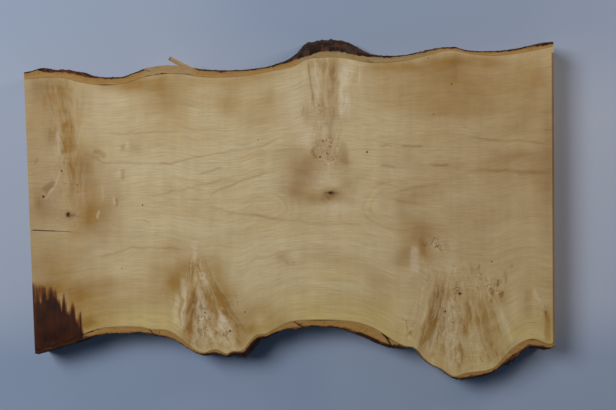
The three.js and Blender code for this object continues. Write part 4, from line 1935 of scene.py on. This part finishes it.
@dataclass
class Studio:
    """A pale floor, soft light from the upper left and a camera that looks straight down."""

    face_height: float
    frame_width: float = 0.579
    lens: float = 50.0
    sensor: float = 36.0
    aim: Point = (17.5, 3.8)
    floor_size: float = 4.0
    lamps: tuple[Lamp, ...] = (
        Lamp("key", (-0.78, 0.42, 1.25), 0.62, 14.9, (0.97, 0.98, 0.97)),
        Lamp("fill", (1.0, 0.55, 0.30), 0.34, 6.3, (1.0, 0.83, 0.66)),
    )
    air: Colour = (0.62, 0.80, 1.0, 1.0)
    air_strength: float = 0.095

    def build(self) -> None:
        """Lays the floor, hangs the lights and sets the camera."""
        begin()
        bpy.ops.mesh.primitive_plane_add(size=self.floor_size, location=(0.0, 0.0, 0.0))
        floor = bpy.context.object
        floor.name = "studio_floor"
        floor.data.materials.append(FloorFinish().make())
        for lamp in self.lamps:
            lamp.hang()
        world = bpy.data.worlds.new("studio air")
        world.use_nodes = True
        background = world.node_tree.nodes["Background"]
        background.inputs["Color"].default_value = self.air
        background.inputs["Strength"].default_value = self.air_strength
        bpy.context.scene.world = world
        bpy.context.scene.view_settings.view_transform = "Standard"
        self.camera()

    def camera(self) -> None:
        """Looks straight down from where the planed face fills the frame."""
        view = bpy.data.cameras.new("camera")
        view.lens = self.lens
        view.sensor_width = self.sensor
        eye = bpy.data.objects.new("camera", view)
        bpy.context.scene.collection.objects.link(eye)
        distance = self.frame_width * self.lens / self.sensor
        eye.location = (self.aim[0] * MM, self.aim[1] * MM, self.face_height + distance)
        bpy.context.scene.camera = eye


def main() -> None:
    """Builds the slab and its studio, and reports each piece."""
    logging.basicConfig(level=logging.INFO, format="%(message)s")
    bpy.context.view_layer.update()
    outline = Outline()
    pieces = [MapleBoard(outline).build()]
    bark = BarkFinish().make()
    strips = (
        BarkStrip(
            outline, Side.UPPER, "bark_upper_edge", "upper_bark", bark,
            openings=(
                Opening(-136, -129, 0.4), Opening(-127, -110, 0.55),
                Opening(-108, -90, 0.5), Opening(72, 80, 0.4),
            ),
            nubs=(
                Nub(-230, 8, 1.3), Nub(-212, 7, 0.8), Nub(-198, 7, 0.8),
                Nub(15, 7, 1.6), Nub(129, 3, 0.4), Nub(156, 3, 0.6),
            ),
            torn=((-137, -90),),
            bleached=((8, 60), (62, 130)),
            craggy=((38, 24, 1.0), (-230, 8, 0.4), (-203, 12, 0.3), (240, 10, 0.35)),
            skin_shift=-0.45,
            deep_skin=((18, 8, 3.2), (60, 9, 1.2)),
        ),
        BarkStrip(
            outline, Side.LOWER, "bark_lower_edge", "lower_bark", bark,
            openings=(Opening(-197, -178, 0.7), Opening(88, 98, 1.2)),
            craggy=((-36, 12, 0.9), (-132, 12, 0.4), (-196, 10, 0.5), (72, 26, 0.4), (101, 8, 0.9)),
            rot_until=-192.0,
            skin_shift=-0.95,
        ),
        BarkStrip(
            outline, Side.LOWER, "bark_lower_corner", "corner_bark", bark,
            craggy=((212, 12, 1.1), (170, 14, 0.3)),
            skin_shift=-0.6,
        ),
    )
    pieces += [strip.build() for strip in strips]
    pieces.append(TornSliver(outline, bark).build())
    Studio(outline.thickness).build()
    for piece in pieces:
        log.info("%s: %d faces", piece.name, len(piece.data.polygons))


if __name__ == "__main__":
    main()
